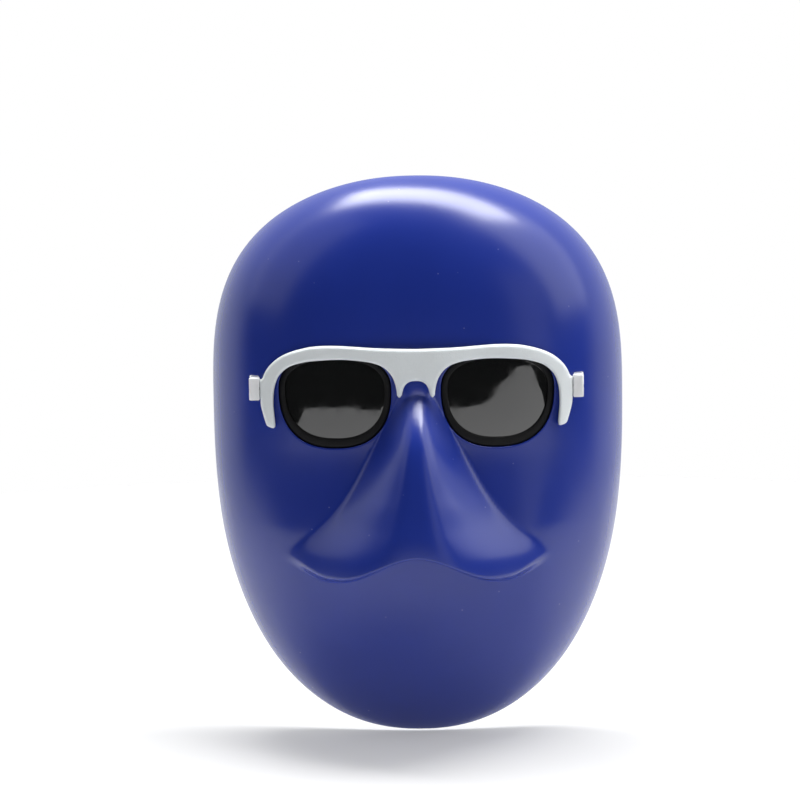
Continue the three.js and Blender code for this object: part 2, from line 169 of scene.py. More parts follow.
def front_slope(x, z, step=0.25):
    along_x = (front_y(x + step, z) - front_y(x - step, z)) / (2 * step)
    along_z = (front_y(x, z + step) - front_y(x, z - step)) / (2 * step)
    return along_x, along_z


# ---- plane geometry ----
def distance_to(points, loop):
    """Distance of each point from a closed outline."""
    ahead = np.roll(loop, -1, 0) - loop
    nearest = np.full(len(points), np.inf)
    for start in range(0, len(points), 4000):
        part = points[start : start + 4000, None, :] - loop[None]
        t = np.clip((part * ahead).sum(-1) / np.maximum((ahead**2).sum(-1), 1e-12), 0, 1)
        gap = part - t[..., None] * ahead
        nearest[start : start + 4000] = np.sqrt((gap**2).sum(-1).min(1))
    return nearest


def is_inside(points, loop):
    ax, ay = loop.T
    bx, by = np.roll(loop, -1, 0).T
    hit = np.zeros(len(points), bool)
    for start in range(0, len(points), 4000):
        x, y = points[start : start + 4000, :1], points[start : start + 4000, 1:]
        spans = (ay > y) != (by > y)
        cross = ax + (y - ay) * (bx - ax) / np.where(by == ay, 1e-12, by - ay)
        hit[start : start + 4000] = (spans & (x < cross)).sum(1) % 2 == 1
    return hit


def area(loop):
    x, y = loop.T
    return 0.5 * (x * np.roll(y, -1) - np.roll(x, -1) * y).sum()


def grown(loop, amount):
    """The outline moved outwards by amount, or inwards where it is negative."""
    ahead = np.roll(loop, -1, 0) - loop
    ahead /= np.maximum(np.linalg.norm(ahead, axis=1), 1e-9)[:, None]
    along = ahead + np.roll(ahead, 1, 0)
    along /= np.maximum(np.linalg.norm(along, axis=1), 1e-9)[:, None]
    out = np.stack((along[:, 1], -along[:, 0]), 1) * np.sign(area(loop))
    return loop + out * amount


def spline(points, step=0.6):
    """A smooth curve through points, as closely spaced as step."""
    points = np.asarray(points, float)
    padded = np.vstack((points[0], points, points[-1]))
    curve = []
    for p0, p1, p2, p3 in zip(padded, padded[1:], padded[2:], padded[3:]):
        count = max(2, math.ceil(np.linalg.norm(p2 - p1) / step))
        t = (np.arange(count) / count)[:, None]
        square, cube = 2 * p0 - 5 * p1 + 4 * p2 - p3, 3 * p1 - p0 - 3 * p2 + p3
        curve.append(0.5 * (2 * p1 + (p2 - p0) * t + square * t**2 + cube * t**3))
    return np.vstack(curve + [points[-1:]])


def rounded(corners, radius, step=0.6):
    """A closed outline from corners, each rounded off, with its sides cut to step."""
    corners = np.asarray(corners, float)
    count = len(corners)
    radii = np.broadcast_to(radius, count)
    points = []
    for i in range(count):
        before, here, after = corners[i - 1], corners[i], corners[(i + 1) % count]
        a, b = before - here, after - here
        la, lb = np.linalg.norm(a), np.linalg.norm(b)
        a, b = a / la, b / lb
        half = math.acos(np.clip(a @ b, -1, 1)) / 2
        cut = min(radii[i] / math.tan(half), 0.48 * min(la, lb)) if radii[i] else 0
        if cut < 1e-6:
            points.append(here[None])
            continue
        r = cut * math.tan(half)
        centre = here + (a + b) / np.linalg.norm(a + b) * (r / math.sin(half))
        start, end = here + a * cut - centre, here + b * cut - centre
        turn = math.pi - 2 * half
        n = max(3, math.ceil(turn * r / (0.5 * step)))
        t = np.arange(n + 1)[:, None] / n
        points.append(centre + (start * np.sin((1 - t) * turn) + end * np.sin(t * turn)) / math.sin(turn))
    loop = np.vstack(points)
    sides = []
    for a, b in zip(loop, np.roll(loop, -1, 0)):
        n = max(1, math.ceil(np.linalg.norm(b - a) / step))
        sides.append(a + (b - a) * (np.arange(n) / n)[:, None])
    return np.vstack(sides)


def triangulate(points, loops):
    """Triangles of points inside loops[0] and outside the others, and each point's new place."""
    points = np.round(points, 3)  # so that points in line stay exactly in line
    edges, start = [], 0
    for loop in loops:
        n = len(loop)
        edges += [(start + i, start + (i + 1) % n) for i in range(n)]
        start += n
    result = delaunay_2d_cdt([Vector(p) for p in points], edges, [], 0, 1e-5, True)
    verts = np.array([v[:] for v in result[0]])
    tris = np.array([f for f in result[2] if len(f) == 3])
    place = np.full(len(points), -1)
    for new, olds in enumerate(result[3]):
        place[olds] = new
    # Triangles joined across anything but an outline belong together; each group is in or out.
    fences = {frozenset((place[a], place[b])) for a, b in edges}
    shared = {}
    for i, tri in enumerate(tris.tolist()):
        for a, b in zip(tri, tri[1:] + tri[:1]):
            shared.setdefault(frozenset((a, b)), []).append(i)
    beside = [[] for _ in tris]
    for edge, users in shared.items():
        if len(users) == 2 and edge not in fences:
            beside[users[0]].append(users[1])
            beside[users[1]].append(users[0])
    middle = verts[tris].mean(1)
    a, b, c = verts[tris[:, 0]], verts[tris[:, 1]], verts[tris[:, 2]]
    doubled = (b[:, 0] - a[:, 0]) * (c[:, 1] - a[:, 1]) - (b[:, 1] - a[:, 1]) * (c[:, 0] - a[:, 0])
    within = is_inside(middle, loops[0])
    for hole in loops[1:]:
        within &= ~is_inside(middle, hole)
    seen = np.zeros(len(tris), bool)
    keep = np.zeros(len(tris), bool)
    for seed in np.argsort(-np.abs(doubled)):
        if seen[seed]:
            continue
        group, queue = [seed], [seed]
        seen[seed] = True
        while queue:
            for other in beside[queue.pop()]:
                if not seen[other]:
                    seen[other] = True
                    group.append(other)
                    queue.append(other)
        keep[group] = within[seed] and abs(doubled[seed]) > 0.01
    flip = doubled < 0
    tris[flip] = tris[flip][:, ::-1]
    return verts, tris[keep], place


# ---- meshes ----
def finish_mesh(obj, smooth_angle=180.0):
    """Face every side outwards and weight the shading by face area, so flats stay flat."""
    mesh = obj.data
    work = bmesh.new()
    work.from_mesh(mesh)
    bmesh.ops.recalc_face_normals(work, faces=work.faces)
    work.to_mesh(mesh)
    work.free()
    mesh.polygons.foreach_set("use_smooth", np.ones(len(mesh.polygons), bool))
    if smooth_angle < 180:
        mesh.set_sharp_from_angle(angle=math.radians(smooth_angle))
        return obj
    normals = np.zeros((len(mesh.vertices), 3))
    face_normals = np.empty(len(mesh.polygons) * 3)
    mesh.polygons.foreach_get("normal", face_normals)
    areas = np.empty(len(mesh.polygons))
    mesh.polygons.foreach_get("area", areas)
    counts = np.empty(len(mesh.polygons), int)
    mesh.polygons.foreach_get("loop_total", counts)
    corners = np.empty(len(mesh.loops), int)
    mesh.loops.foreach_get("vertex_index", corners)
    weighted = face_normals.reshape(-1, 3) * areas[:, None]
    np.add.at(normals, corners, np.repeat(weighted, counts, axis=0))
    lengths = np.linalg.norm(normals, axis=1)
    normals /= np.maximum(lengths, 1e-20)[:, None]
    mesh.normals_split_custom_set_from_vertices(normals.tolist())
    return obj


def new_object(name, verts_mm, faces):
    mesh = bpy.data.meshes.new(name)
    mesh.from_pydata((np.asarray(verts_mm) * MM).tolist(), [], [list(map(int, f)) for f in faces])
    mesh.validate()
    obj = bpy.data.objects.new(name, mesh)
    bpy.context.scene.collection.objects.link(obj)
    return obj


def strips(rings, closed=True, wrap=False):
    """Quads between equal rings of vertex numbers."""
    faces = []
    pairs = list(zip(rings, rings[1:])) + ([(rings[-1], rings[0])] if wrap else [])
    for a, b in pairs:
        n = len(a)
        for i in range(n if closed else n - 1):
            j = (i + 1) % n
            faces.append((a[i], a[j], b[j], b[i]))
    return faces


def quarter(radius, steps=5):
    """Distances in from an edge at which a rounded edge is cut into facets."""
    return radius * (1 - np.sin(np.linspace(math.pi / 2, 0, steps + 1)))


def plate(name, loops, front, back, radii, spacing, place, smooth_angle=180.0):
    """A moulded plate: outline and holes, a front and a back face, and rounded edges.

    front and back give the faces' heights at points of the plane, radii are the edge roundings
    on each, and place turns plane points and heights into X, Y and Z.
    """
    loops = [np.asarray(loop, float) for loop in loops]
    low, high = loops[0].min(0), loops[0].max(0)
    verts, faces, edges = [], [], []
    for height, radius, sign in ((front, radii[0], 1), (back, radii[1], -1)):
        points = [loop for loop in loops]
        for number, loop in enumerate(loops):
            for depth in quarter(radius)[1:] if radius else []:
                ring = grown(loop, -depth if number == 0 else depth)
                clear = np.min([distance_to(ring, other) for other in loops], axis=0) > depth * 0.97
                within = is_inside(ring, loops[0])
                points.append(ring[clear & within])
        xs = np.arange(low[0] + spacing / 2, high[0], spacing)
        ys = np.arange(low[1] + spacing / 2, high[1], spacing)
        grid = np.stack(np.meshgrid(xs, ys), -1).reshape(-1, 2)
        clear = np.min([distance_to(grid, loop) for loop in loops], axis=0) > radius + 0.55 * spacing
        grid = grid[clear & is_inside(grid, loops[0])]
        points = np.vstack(points + [grid])
        flat, tris, where = triangulate(points, loops)
        edge = np.min([distance_to(flat, loop) for loop in loops], axis=0)
        inset = np.clip(radius - edge, 0, radius)
        drop = radius - np.sqrt(np.maximum(radius**2 - inset**2, 0))
        level = height(flat[:, 0], flat[:, 1]) + sign * drop
        start = sum(len(v) for v in verts)
        verts.append(place(flat[:, 0], flat[:, 1], level))
        faces += [tuple(t) for t in (tris if sign > 0 else tris[:, ::-1]) + start]
        edges.append(where + start)
    first = 0
    for loop in loops:
        ids = np.arange(first, first + len(loop))
        faces += strips([edges[0][ids], edges[1][ids]])
        first += len(loop)
    used = sorted({i for face in faces for i in face})
    number = {old: new for new, old in enumerate(used)}
    faces = [[number[i] for i in face] for face in faces]
    obj = new_object(name, np.vstack(verts)[used], faces)
    return finish_mesh(obj, smooth_angle)


def lathe(name, profile, centre, axis, segments=32):
    """A turned solid: profile holds (along, radius) pairs from end to end of the axis."""
    along, radius = np.asarray(profile, float).T
    turn = np.linspace(0, 2 * math.pi, segments, endpoint=False)
    others = [i for i in range(3) if i != axis]
    verts, rings = [], []
    for a, r in zip(along, radius):
        ring = np.tile(np.asarray(centre, float), (1 if r == 0 else segments, 1))
        ring[:, axis] += a
        if r:
            ring[:, others[0]] += r * np.cos(turn)
            ring[:, others[1]] += r * np.sin(turn)
        start = sum(len(v) for v in verts)
        rings.append(list(range(start, start + len(ring))))
        verts.append(ring)
    faces = []
    for a, b in zip(rings, rings[1:]):
        if len(a) == 1 and len(b) == 1:
            continue
        if len(a) == 1 or len(b) == 1:
            tip, ring = (a[0], b) if len(a) == 1 else (b[0], a)
            faces += [(tip, ring[i], ring[(i + 1) % segments]) for i in range(segments)]
        else:
            faces += strips([a, b])
    return finish_mesh(new_object(name, np.vstack(verts), faces), 35)


def combine(obj, others, operation, smooth_angle=35.0):
    """Join solids to obj, or cut them out of it, and leave one clean mesh."""
    for other in others:
        step = obj.modifiers.new("combine", "BOOLEAN")
        step.object, step.operation, step.solver = other, operation, "EXACT"
        result = bpy.data.meshes.new_from_object(obj.evaluated_get(bpy.context.evaluated_depsgraph_get()))
        obj.modifiers.clear()
        obj.data = result
        bpy.data.objects.remove(other)
    return finish_mesh(obj, smooth_angle)


# ---- materials ----
def linear(code, alpha=1.0):
    """An sRGB hex colour as linear values."""
    values = [int(code[i : i + 2], 16) / 255 for i in (0, 2, 4)]
    return tuple(v / 12.92 if v <= 0.04045 else ((v + 0.055) / 1.055) ** 2.4 for v in values) + (alpha,)


def per(size_mm):
    """Texture scale that gives a pattern features of this size."""
    return 1 / (size_mm * MM)


def add(tree, kind, inputs, **settings):
    """Add a node with its settings; each input is a value or the socket that feeds it."""
    made = tree.nodes.new(kind)
    for key, value in settings.items():
        setattr(made, key, value)
    for key, value in inputs.items():
        if isinstance(value, bpy.types.NodeSocket):
            tree.links.new(value, made.inputs[key])
        else:
            made.inputs[key].default_value = value
    return made


def noise(tree, where, size_mm, detail, roughness=0.5):
    """A noise with features of this size."""
    inputs = {"Vector": where, "Scale": per(size_mm), "Detail": detail, "Roughness": roughness}
    return add(tree, "ShaderNodeTexNoise", inputs).outputs["Fac"]


def remap(tree, value, low, high, to_low, to_high, **settings):
    """A value moved from one range to another, and held within it."""
    inputs = {"Value": value, "From Min": low, "From Max": high, "To Min": to_low, "To Max": to_high}
    return add(tree, "ShaderNodeMapRange", inputs, **settings).outputs[0]


def relief(tree, height, strength, depth_mm):
    """The normal of a surface with this relief."""
    inputs = {"Height": height, "Strength": strength, "Distance": depth_mm * MM}
    return add(tree, "ShaderNodeBump", inputs).outputs[0]


def blend(tree, share, first, second):
    """One colour that gives way to another."""
    return add(tree, "ShaderNodeMix", {0: share, 6: first, 7: second}, data_type="RGBA").outputs[2]


def shaded(colour, factor):
    """The same colour, lighter or darker."""
    return tuple(c * factor for c in colour[:3]) + (1.0,)


def start_material(name):
    material = bpy.data.materials.new(name)
    material.use_nodes = True
    tree = material.node_tree
    tree.nodes.clear()
    where = add(tree, "ShaderNodeTexCoord", {}).outputs["Object"]
    return material, tree, where


def finish_material(material, tree, inputs, **settings):
    surface = add(tree, "ShaderNodeBsdfPrincipled", inputs, **settings)
    add(tree, "ShaderNodeOutputMaterial", {"Surface": surface.outputs[0]})
    return material


def moulded_pvc(colour, roughness):
    """Injection-moulded PVC, pigmented right through.

    The skin takes the polish of the mould, so it has a satin gloss with a shallow orange peel.
    The pigment is even, apart from slow clouds where the melt met, and handling leaves faint
    dull smears and a few pale nibs of dust.
    """
    material, tree, where = start_material("moulded_pvc_blue")
    clouds = noise(tree, where, 45, 2.0)
    peel = noise(tree, where, 2.2, 2.0)
    smears = noise(tree, where, 26, 2.0, 0.45)
    nibs = add(tree, "ShaderNodeTexVoronoi", {"Vector": where, "Scale": per(9.0), "Randomness": 1.0})
    # A nib is 0.5 mm across in cells 9 mm wide.
    nib = remap(tree, nibs.outputs["Distance"], 0.025, 0.045, 0.35, 0.0)
    cloud = remap(tree, clouds, 0.15, 0.85, 0.0, 1.0)
    base = blend(tree, cloud, tuple(colour), shaded(colour, 1.18))
    flecked = blend(tree, nib, base, linear("8c93c4"))
    gloss = remap(tree, smears, 0.1, 0.9, roughness - 0.02, roughness + 0.03)
    bump = relief(tree, peel, 0.25, 0.04)
    return finish_material(
        material, tree,
        {"Base Color": flecked, "Roughness": gloss, "IOR": 1.54, "Normal": bump},
    )


def moulded_nylon(name, colour, roughness, glow, grain):
    """Moulded nylon. It is milky: light that enters comes out again nearby and softens edges.

    A fine spark-eroded mould grain breaks up its highlights.
    """
    material, tree, where = start_material(name)
    fine = noise(tree, where, 0.6, 3.0)
    slow = noise(tree, where, 12, 3.0)
    worn = remap(tree, slow, 0.3, 0.7, roughness - 0.04, roughness + 0.06)
    tint = blend(tree, slow, tuple(colour), shaded(colour, 0.93))
    bump = relief(tree, fine, 0.3, grain)
    return finish_material(
        material, tree,
        {"Base Color": tint, "Roughness": worn, "IOR": 1.53, "Normal": bump,
         "Subsurface Weight": glow, "Subsurface Radius": (1.0, 1.0, 1.0),
         "Subsurface Scale": 0.0015},
        subsurface_method="RANDOM_WALK",
    )


def moulded_rubber(colour):
    """Compression-moulded rubber, matt from its vented mould, with a greyish bloom of dust."""
    material, tree, where = start_material("moulded_rubber_black")
    fine = noise(tree, where, 0.5, 3.0)
    dust = noise(tree, where, 7, 6.0, 0.65)
    bloom = remap(tree, dust, 0.5, 0.75, 0.0, 0.2)
    tint = blend(tree, bloom, tuple(colour), linear("2c2c2e"))
    bump = relief(tree, fine, 0.4, 0.03)
    return finish_material(
        material, tree,
        {"Base Color": tint, "Roughness": 0.6, "IOR": 1.52, "Specular IOR Level": 0.22,
         "Normal": bump},
    )


def filter_glass(colour):
    """Dark filter glass with a half-mirror film: near black, with a clear dim reflection.

    The film raises the reflection well above plain glass, and the pressed face bends it softly.
    """
    material, tree, where = start_material("filter_glass_dark")
    slow = noise(tree, where, 22, 1.0)
    haze = noise(tree, where, 5, 5.0, 0.6)
    smear = remap(tree, haze, 0.4, 0.75, 0.015, 0.05)
    bump = relief(tree, slow, 0.5, 0.1)
    return finish_material(
        material, tree,
        {"Base Color": tuple(colour), "Roughness": smear, "IOR": 2.1, "Normal": bump},
    )


def plated_steel(colour):
    """Nickel-plated steel: bright, with fine turning and handling scratches under the plate."""
    material, tree, where = start_material("nickel_plated_steel")
    lines = add(tree, "ShaderNodeMapping", {"Vector": where, "Scale": (1.0, 0.12, 1.0)})
    scratch = noise(tree, lines.outputs[0], 0.25, 4.0)
    gloss = remap(tree, scratch, 0.3, 0.7, 0.16, 0.34)
    bump = relief(tree, scratch, 0.2, 0.01)
    return finish_material(
        material, tree,
        {"Base Color": tuple(colour), "Metallic": 1.0, "Roughness": gloss, "Normal": bump},
    )


def finish_piece(obj, node, body, material):
    """Give a piece its material and the body it moves with, and hide the imported node that it stands for.
    """
    obj.data.materials.clear()
    obj.data.materials.append(material)
    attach(obj, body)
    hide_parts(node)
    return obj


# ---- shell ----
def spread(stops):
    """Shares from 0 to 1 whose spacing follows (position, spacing) stops in millimetres."""
    at, gap = zip(*stops)
    fine = np.linspace(at[0], at[-1], 4000)
    count = np.concatenate(([0], np.cumsum((fine[1] - fine[0]) / np.interp(fine[1:], at, gap))))
    n = round(count[-1])
    return np.interp(np.arange(n + 1) * count[-1] / n, count, fine) / at[-1]


NOSE_EDGE_Z = -83.0  # mean height of the nose's lower edge


def shell_grid():
    """The outline filled with rows and columns, closest at the rim and under the nose."""
    columns = spread([(0, 1.1), (58, 1.5), (84, 1.5), (93, 0.6), (HALF_WIDTH, 0.2)])
    up = spread([(0, 1.5), (70, 1.5), (98, 0.6), (RISE, 0.2)])
    nose_edge_rows = [(56, 0.5), (71, 0.5), (80, 0.9)]
    down = spread([(0, 1.4), (50, 1.3), *nose_edge_rows, (95, 1.5), (144, 1.3), (150, 0.6), (DROP, 0.2)])
    u = np.concatenate((-columns[:0:-1], columns))
    v = np.concatenate((-down[:0:-1], up))
    u, v = np.meshgrid(u, v)
    disc_x, disc_z = u * np.sqrt(1 - v * v / 2), v * np.sqrt(1 - u * u / 2)
    radius = np.hypot(disc_x, disc_z)
    c, s = disc_x / np.maximum(radius, 1e-9), disc_z / np.maximum(radius, 1e-9)
    n = outline_power(s >= 0, s * s)
    scale = radius / np.maximum((np.abs(c) ** n + np.abs(s) ** n) ** (1 / n), 1e-9)
    x = HALF_WIDTH * scale * c
    z = WIDEST_Z + np.where(s >= 0, RISE, DROP) * scale * s
    # Rows near the nose's lower edge run along it.
    near = np.exp(-(((z - NOSE_EDGE_Z) / 20) ** 2)) * (1 - radius**4)
    z = z + (nose_edge(x) - nose_edge(0)) * near
    return x, z


EYE = {"x": 36.8, "z": -2.0, "half_width": 25.7, "up": 16.0, "down": 26.5, "power": 2.4}


def eye_outline(side, inset=0.0, top=None, bottom=None, count=168):
    """Outline of an eye opening, moved in from its edge; top and bottom may differ."""
    turn = np.linspace(0, 2 * math.pi, count, endpoint=False)
    c, s = np.cos(turn), np.sin(turn)
    radius = (np.abs(c) ** EYE["power"] + np.abs(s) ** EYE["power"]) ** (-1 / EYE["power"])
    up = EYE["up"] - (inset if top is None else top)
    down = EYE["down"] - (inset if bottom is None else bottom)
    x = EYE["x"] + (EYE["half_width"] - inset) * radius * c
    z = EYE["z"] + np.where(s >= 0, up, down) * radius * s
    return np.stack((side * x, z), 1)[::side]


BAR_X = 74.0
BAR_THICKNESS = 3.8
BAR_TOP, BAR_BOTTOM = 3.2, -7.0
BAR_IN, BAR_OUT = BAR_X - BAR_THICKNESS / 2, BAR_X + BAR_THICKNESS / 2
SLIT_GAP = 0.5


def slit_outline(side):
    corners = [
        (BAR_IN - SLIT_GAP, BAR_BOTTOM - SLIT_GAP),
        (BAR_OUT + SLIT_GAP, BAR_BOTTOM - SLIT_GAP),
        (BAR_OUT + SLIT_GAP, BAR_TOP + SLIT_GAP),
        (BAR_IN - SLIT_GAP, BAR_TOP + SLIT_GAP),
    ]
    loop = rounded(corners, 1.0, 0.5)
    loop[:, 0] *= side
    return loop[::side]


PATCH = 3.4  # width of the fitted triangles round each hole
FULL_WALL = 7.0  # distance from a hole at which its straight cut has given way to the wall


def build_shell(wall, hole_edge, rim_edge):
    """The moulded shell: an outer and an inner skin, cut for the eyes and the end pieces."""
    x, z = shell_grid()
    rows, columns = x.shape
    flat = np.stack((x, z), -1).reshape(-1, 2)
    number = np.arange(rows * columns).reshape(rows, columns)
    quads = np.stack((number[:-1, :-1], number[:-1, 1:], number[1:, 1:], number[1:, :-1]), -1)
    quads = quads.reshape(-1, 4)
    holes = [draw(side) for draw in (eye_outline, slit_outline) for side in SIDES.values()]
    faces, hole_loops, extra = [], [], []
    total = len(flat)
    # Round each hole the grid is taken away and triangles are fitted between it and the hole.
    for hole in holes:
        gap = np.where(is_inside(flat, hole), 0, distance_to(flat, hole))
        cut = (gap[quads] < PATCH).any(1)
        gone, quads = quads[cut], quads[~cut]
        ways = {(int(a), int(b)) for q in gone for a, b in zip(q, np.roll(q, -1))}
        ahead = {a: b for a, b in ways if (b, a) not in ways}
        border = [next(iter(ahead))]
        while ahead[border[-1]] != border[0]:
            border.append(ahead[border[-1]])
        outer, edge = flat[border], grown(hole, hole_edge)
        rings = [grown(hole, hole_edge + d) for d in (0.35, 0.8, 1.4, 2.1)]
        free = np.vstack(rings)
        free = free[(distance_to(free, outer) > 0.5) & is_inside(free, outer)]
        points = np.vstack((outer, edge, free))
        verts, tris, place = triangulate(points, [outer, edge])
        back = np.full(len(verts), -1)
        for old, new in enumerate(place[: len(border)]):
            back[new] = border[old]
        fresh = np.flatnonzero(back < 0)
        back[fresh] = total + np.arange(len(fresh))
        extra.append(verts[fresh])
        total += len(fresh)
        faces.append(back[tris])
        hole_loops.append(back[place[len(border) : len(border) + len(edge)]])
    flat = np.vstack([flat] + extra)
    gap = np.full(len(flat), np.inf)
    for hole in holes:
        gap = np.minimum(gap, distance_to(flat, hole))

    # The wall is measured square to the skin, but a hole's edge is cut straight through.
    def lift(points):
        return np.stack((points[:, 0], front_y(points[:, 0], points[:, 1]), points[:, 1]), 1)

    def wall_step(points, straight):
        dx, dz = front_slope(points[:, 0], points[:, 1])
        long = np.sqrt(1 + dx * dx + dz * dz)
        square = np.stack((-dx, np.ones_like(dx), -dz), 1) / long[:, None]
        through = np.stack((0 * dx, long, 0 * dx), 1)
        return wall * (square + (through - square) * straight[:, None])

    outer = lift(flat)
    inner = outer + wall_step(flat, smooth(1 - (gap - hole_edge) / FULL_WALL))
    count = len(flat)
    verts = [outer, inner]
    tris = np.vstack(faces)
    all_faces = [tuple(q) for q in quads] + [tuple(t) for t in tris]
    all_faces += [tuple(q[::-1] + count) for q in quads] + [tuple(t[::-1] + count) for t in tris]
    total = 2 * count
    for hole, loop in zip(holes, hole_loops):
        sharp_out = lift(hole)
        sharp_in = sharp_out + wall_step(hole, np.ones(len(hole)))
        through = (sharp_in - sharp_out) / np.linalg.norm(sharp_in - sharp_out, axis=1)[:, None]
        rings = [loop]
        for first, corner, last, steps in (
            (outer[loop], sharp_out, sharp_out + through * hole_edge, (0.25, 0.5, 0.75, 1)),
            (sharp_in - through * hole_edge, sharp_in, inner[loop], (0, 0.25, 0.5, 0.75)),
        ):
            for t in steps:
                ring = first * (1 - t) ** 2 + corner * 2 * t * (1 - t) + last * t * t
                verts.append(ring)
                rings.append(np.arange(total, total + len(ring)))
                total += len(ring)
        rings.append(loop + count)
        all_faces += strips(rings)
    rim = np.concatenate((number[0], number[1:, -1], number[-1, -2::-1], number[-2:0:-1, 0]))
    centre = (outer[rim] + inner[rim]) / 2
    half = outer[rim] - centre
    along = np.roll(outer[rim], -1, 0) - np.roll(outer[rim], 1, 0)
    out = np.cross(half, along)
    out /= np.linalg.norm(out, axis=1)[:, None]
    out *= np.sign((out[:, 1]).mean())
    rings = [rim]
    for turn in np.linspace(0, math.pi, 10)[1:-1]:
        verts.append(centre + half * math.cos(turn) + out * rim_edge * math.sin(turn))
        rings.append(np.arange(total, total + len(rim)))
        total += len(rim)
    rings.append(rim + count)
    all_faces += strips(rings)
    verts = np.vstack(verts)
    used = np.unique(np.concatenate([np.asarray(f) for f in all_faces]))
    renumber = np.full(len(verts), -1)
    renumber[used] = np.arange(len(used))
    all_faces = [renumber[np.asarray(f)] for f in all_faces]
    return finish_mesh(new_object("shell_moulding", verts[used], all_faces))


# ---- spectacles ----
RIM_SIDE, RIM_TOP, RIM_BOTTOM = 3.0, 2.3, 4.5  # visible width of the black rims
RIM_GAP = 0.35  # between a rim and its opening
LENS_FRONT, LENS_THICKNESS, LENS_EDGE = 1.8, 2.6, 1.2


def rim_ring(side, inset, depth):
    """A ring round the eye, inset from the opening's edge and depth behind the shell's front."""
    share = max(0, (inset - RIM_GAP) / (RIM_SIDE - RIM_GAP))
    top = mix(RIM_GAP, RIM_TOP, share) if share else inset
    bottom = mix(RIM_GAP, RIM_BOTTOM, share) if share else inset
    loop = eye_outline(side, inset, top, bottom)
    return np.stack((loop[:, 0], seat_y(loop[:, 0]) + depth, loop[:, 1]), 1)


def build_rim(name, side):
    """A ring with a front lip, a groove that grips the lens and a flange behind the shell."""
    section = [
        (0.35, 1.5), (0.4, 1.16), (0.57, 0.9), (0.85, 0.78), (1.2, 0.74), (1.9, 0.74), (2.4, 0.78),
        (2.72, 0.9), (2.92, 1.12), (3.0, 1.42), (3.0, 1.62), (2.94, 1.74), (1.8, 1.75), (1.72, 1.83),
        (1.72, 4.37), (1.8, 4.45), (2.9, 4.47), (3.0, 4.6), (3.0, 6.5), (2.86, 6.86), (2.5, 7.0),
        (0.85, 7.0), (0.49, 6.86), (0.35, 6.5), (0.35, 5.0), (0.25, 4.75), (0.0, 4.7), (-1.5, 4.7),
        (-1.86, 4.56), (-2.0, 4.2), (-2.0, 3.4), (-1.86, 3.04), (-1.5, 2.9), (0.1, 2.9), (0.28, 2.82),
        (0.35, 2.65),
    ]
    rings = [rim_ring(side, inset, depth) for inset, depth in section]
    count = len(rings[0])
    numbers = [np.arange(i * count, (i + 1) * count) for i in range(len(rings))]
    return finish_mesh(new_object(name, np.vstack(rings), strips(numbers, wrap=True)), 50)


def to_front(p, q, height):
    """The plane of the face: heights run back along Y."""
    return np.stack((p, height, q), 1)


def build_lens(name, side):
    inset = RIM_SIDE - LENS_EDGE
    loop = eye_outline(side, inset, RIM_TOP - LENS_EDGE, RIM_BOTTOM - LENS_EDGE, 144)
    return plate(
        name,
        [loop if area(loop) > 0 else loop[::-1]],
        lambda p, q: seat_y(p) + LENS_FRONT,
        lambda p, q: seat_y(p) + LENS_FRONT + LENS_THICKNESS,
        (0.25, 0.25),
        1.3,
        to_front,
        50,
    )


# One half of the brow frame's outline: the crest from the bridge to the leg's end, the edge
# round the lens back to the nose, and the arch over the nose.
CREST = [
    (0, 16.7), (18, 17.2), (36, 18.2), (46, 17.8), (52.4, 16.5), (57.4, 14.9), (62.4, 12.3),
    (66.9, 8.2), (69.4, 3.8), (70.6, -1.5), (70.8, -8.5), (69.7, -13.5), (68.7, -16.8),
]
LEG_END = [(68.7, -16.8), (68.1, -18.3), (66.8, -19.1), (65.2, -19.5), (64.3, -19.1), (64.1, -17.8)]
OVER_LENS = [
    (64.1, -17.8), (64.8, -9), (64.4, -2.2), (62.8, 3), (60.4, 6.2), (57, 8.7), (52.8, 10.2),
    (46.5, 11.4), (34, 12.1), (23, 11.3), (17.2, 10), (14, 8.4), (11.8, 6.3), (10.2, 3.8), (9.2, 1),
    (8.6, -2.2), (8.5, -3.8),
]
PRONG = [(8.5, -3.8), (7.4, -4.9), (6.3, -3.8)]
ARCH = [(6.3, -3.8), (5.6, -1), (4.4, 1.1), (2.4, 2.3), (0, 2.6)]
LUG_IN = 71.2  # inner face of the lug in front of the shell, next to the frame's leg
LUG_FRONT, LUG_STEP = 6.8, 11.2  # front of the lug, and where it narrows to pass the slit
BOSS_OUT, BOSS_MARGIN = LUG_IN - 0.1, 0.8  # end of the frame's boss, and its step in from the lug
FRAME_GAP = 0.5  # between the frame and the shell it follows
BRIDGE_LIFT, BRIDGE_HALF_WIDTH, BRIDGE_BLEND = 2.3, 34.0, 26.0  # further gap over the nose


def frame_back(x):
    return seat_y(x) - FRAME_GAP - BRIDGE_LIFT * smooth((BRIDGE_HALF_WIDTH - np.abs(x)) / BRIDGE_BLEND)


def frame_outline():
    """The whole outline; each leg carries a short boss that the end piece is screwed to."""
    crest = spline(CREST)
    top, bottom = BAR_TOP - BOSS_MARGIN, BAR_BOTTOM + BOSS_MARGIN
    above = crest[crest[:, 1] > top + 0.5]
    below = crest[crest[:, 1] < bottom - 0.5]
    edge = np.interp((top, bottom), crest[::-1, 1], crest[::-1, 0])
    corners = [(edge[1] - 4, bottom), (BOSS_OUT, bottom), (BOSS_OUT, top), (edge[0] - 4, top)]
    boss = rounded(corners, 0.35, 0.4)[::-1]
    boss = boss[boss[:, 0] > np.interp(boss[:, 1], crest[::-1, 1], crest[::-1, 0]) + 0.3]
    rest = [spline(part)[1:] for part in (LEG_END, OVER_LENS, PRONG, ARCH)]
    half = np.vstack([above, boss[np.argsort(-boss[:, 1], kind="stable")], below] + rest)
    other = half[1:-1] * (-1, 1)
    loop = np.vstack((half, other[::-1]))
    return loop if area(loop) > 0 else loop[::-1]


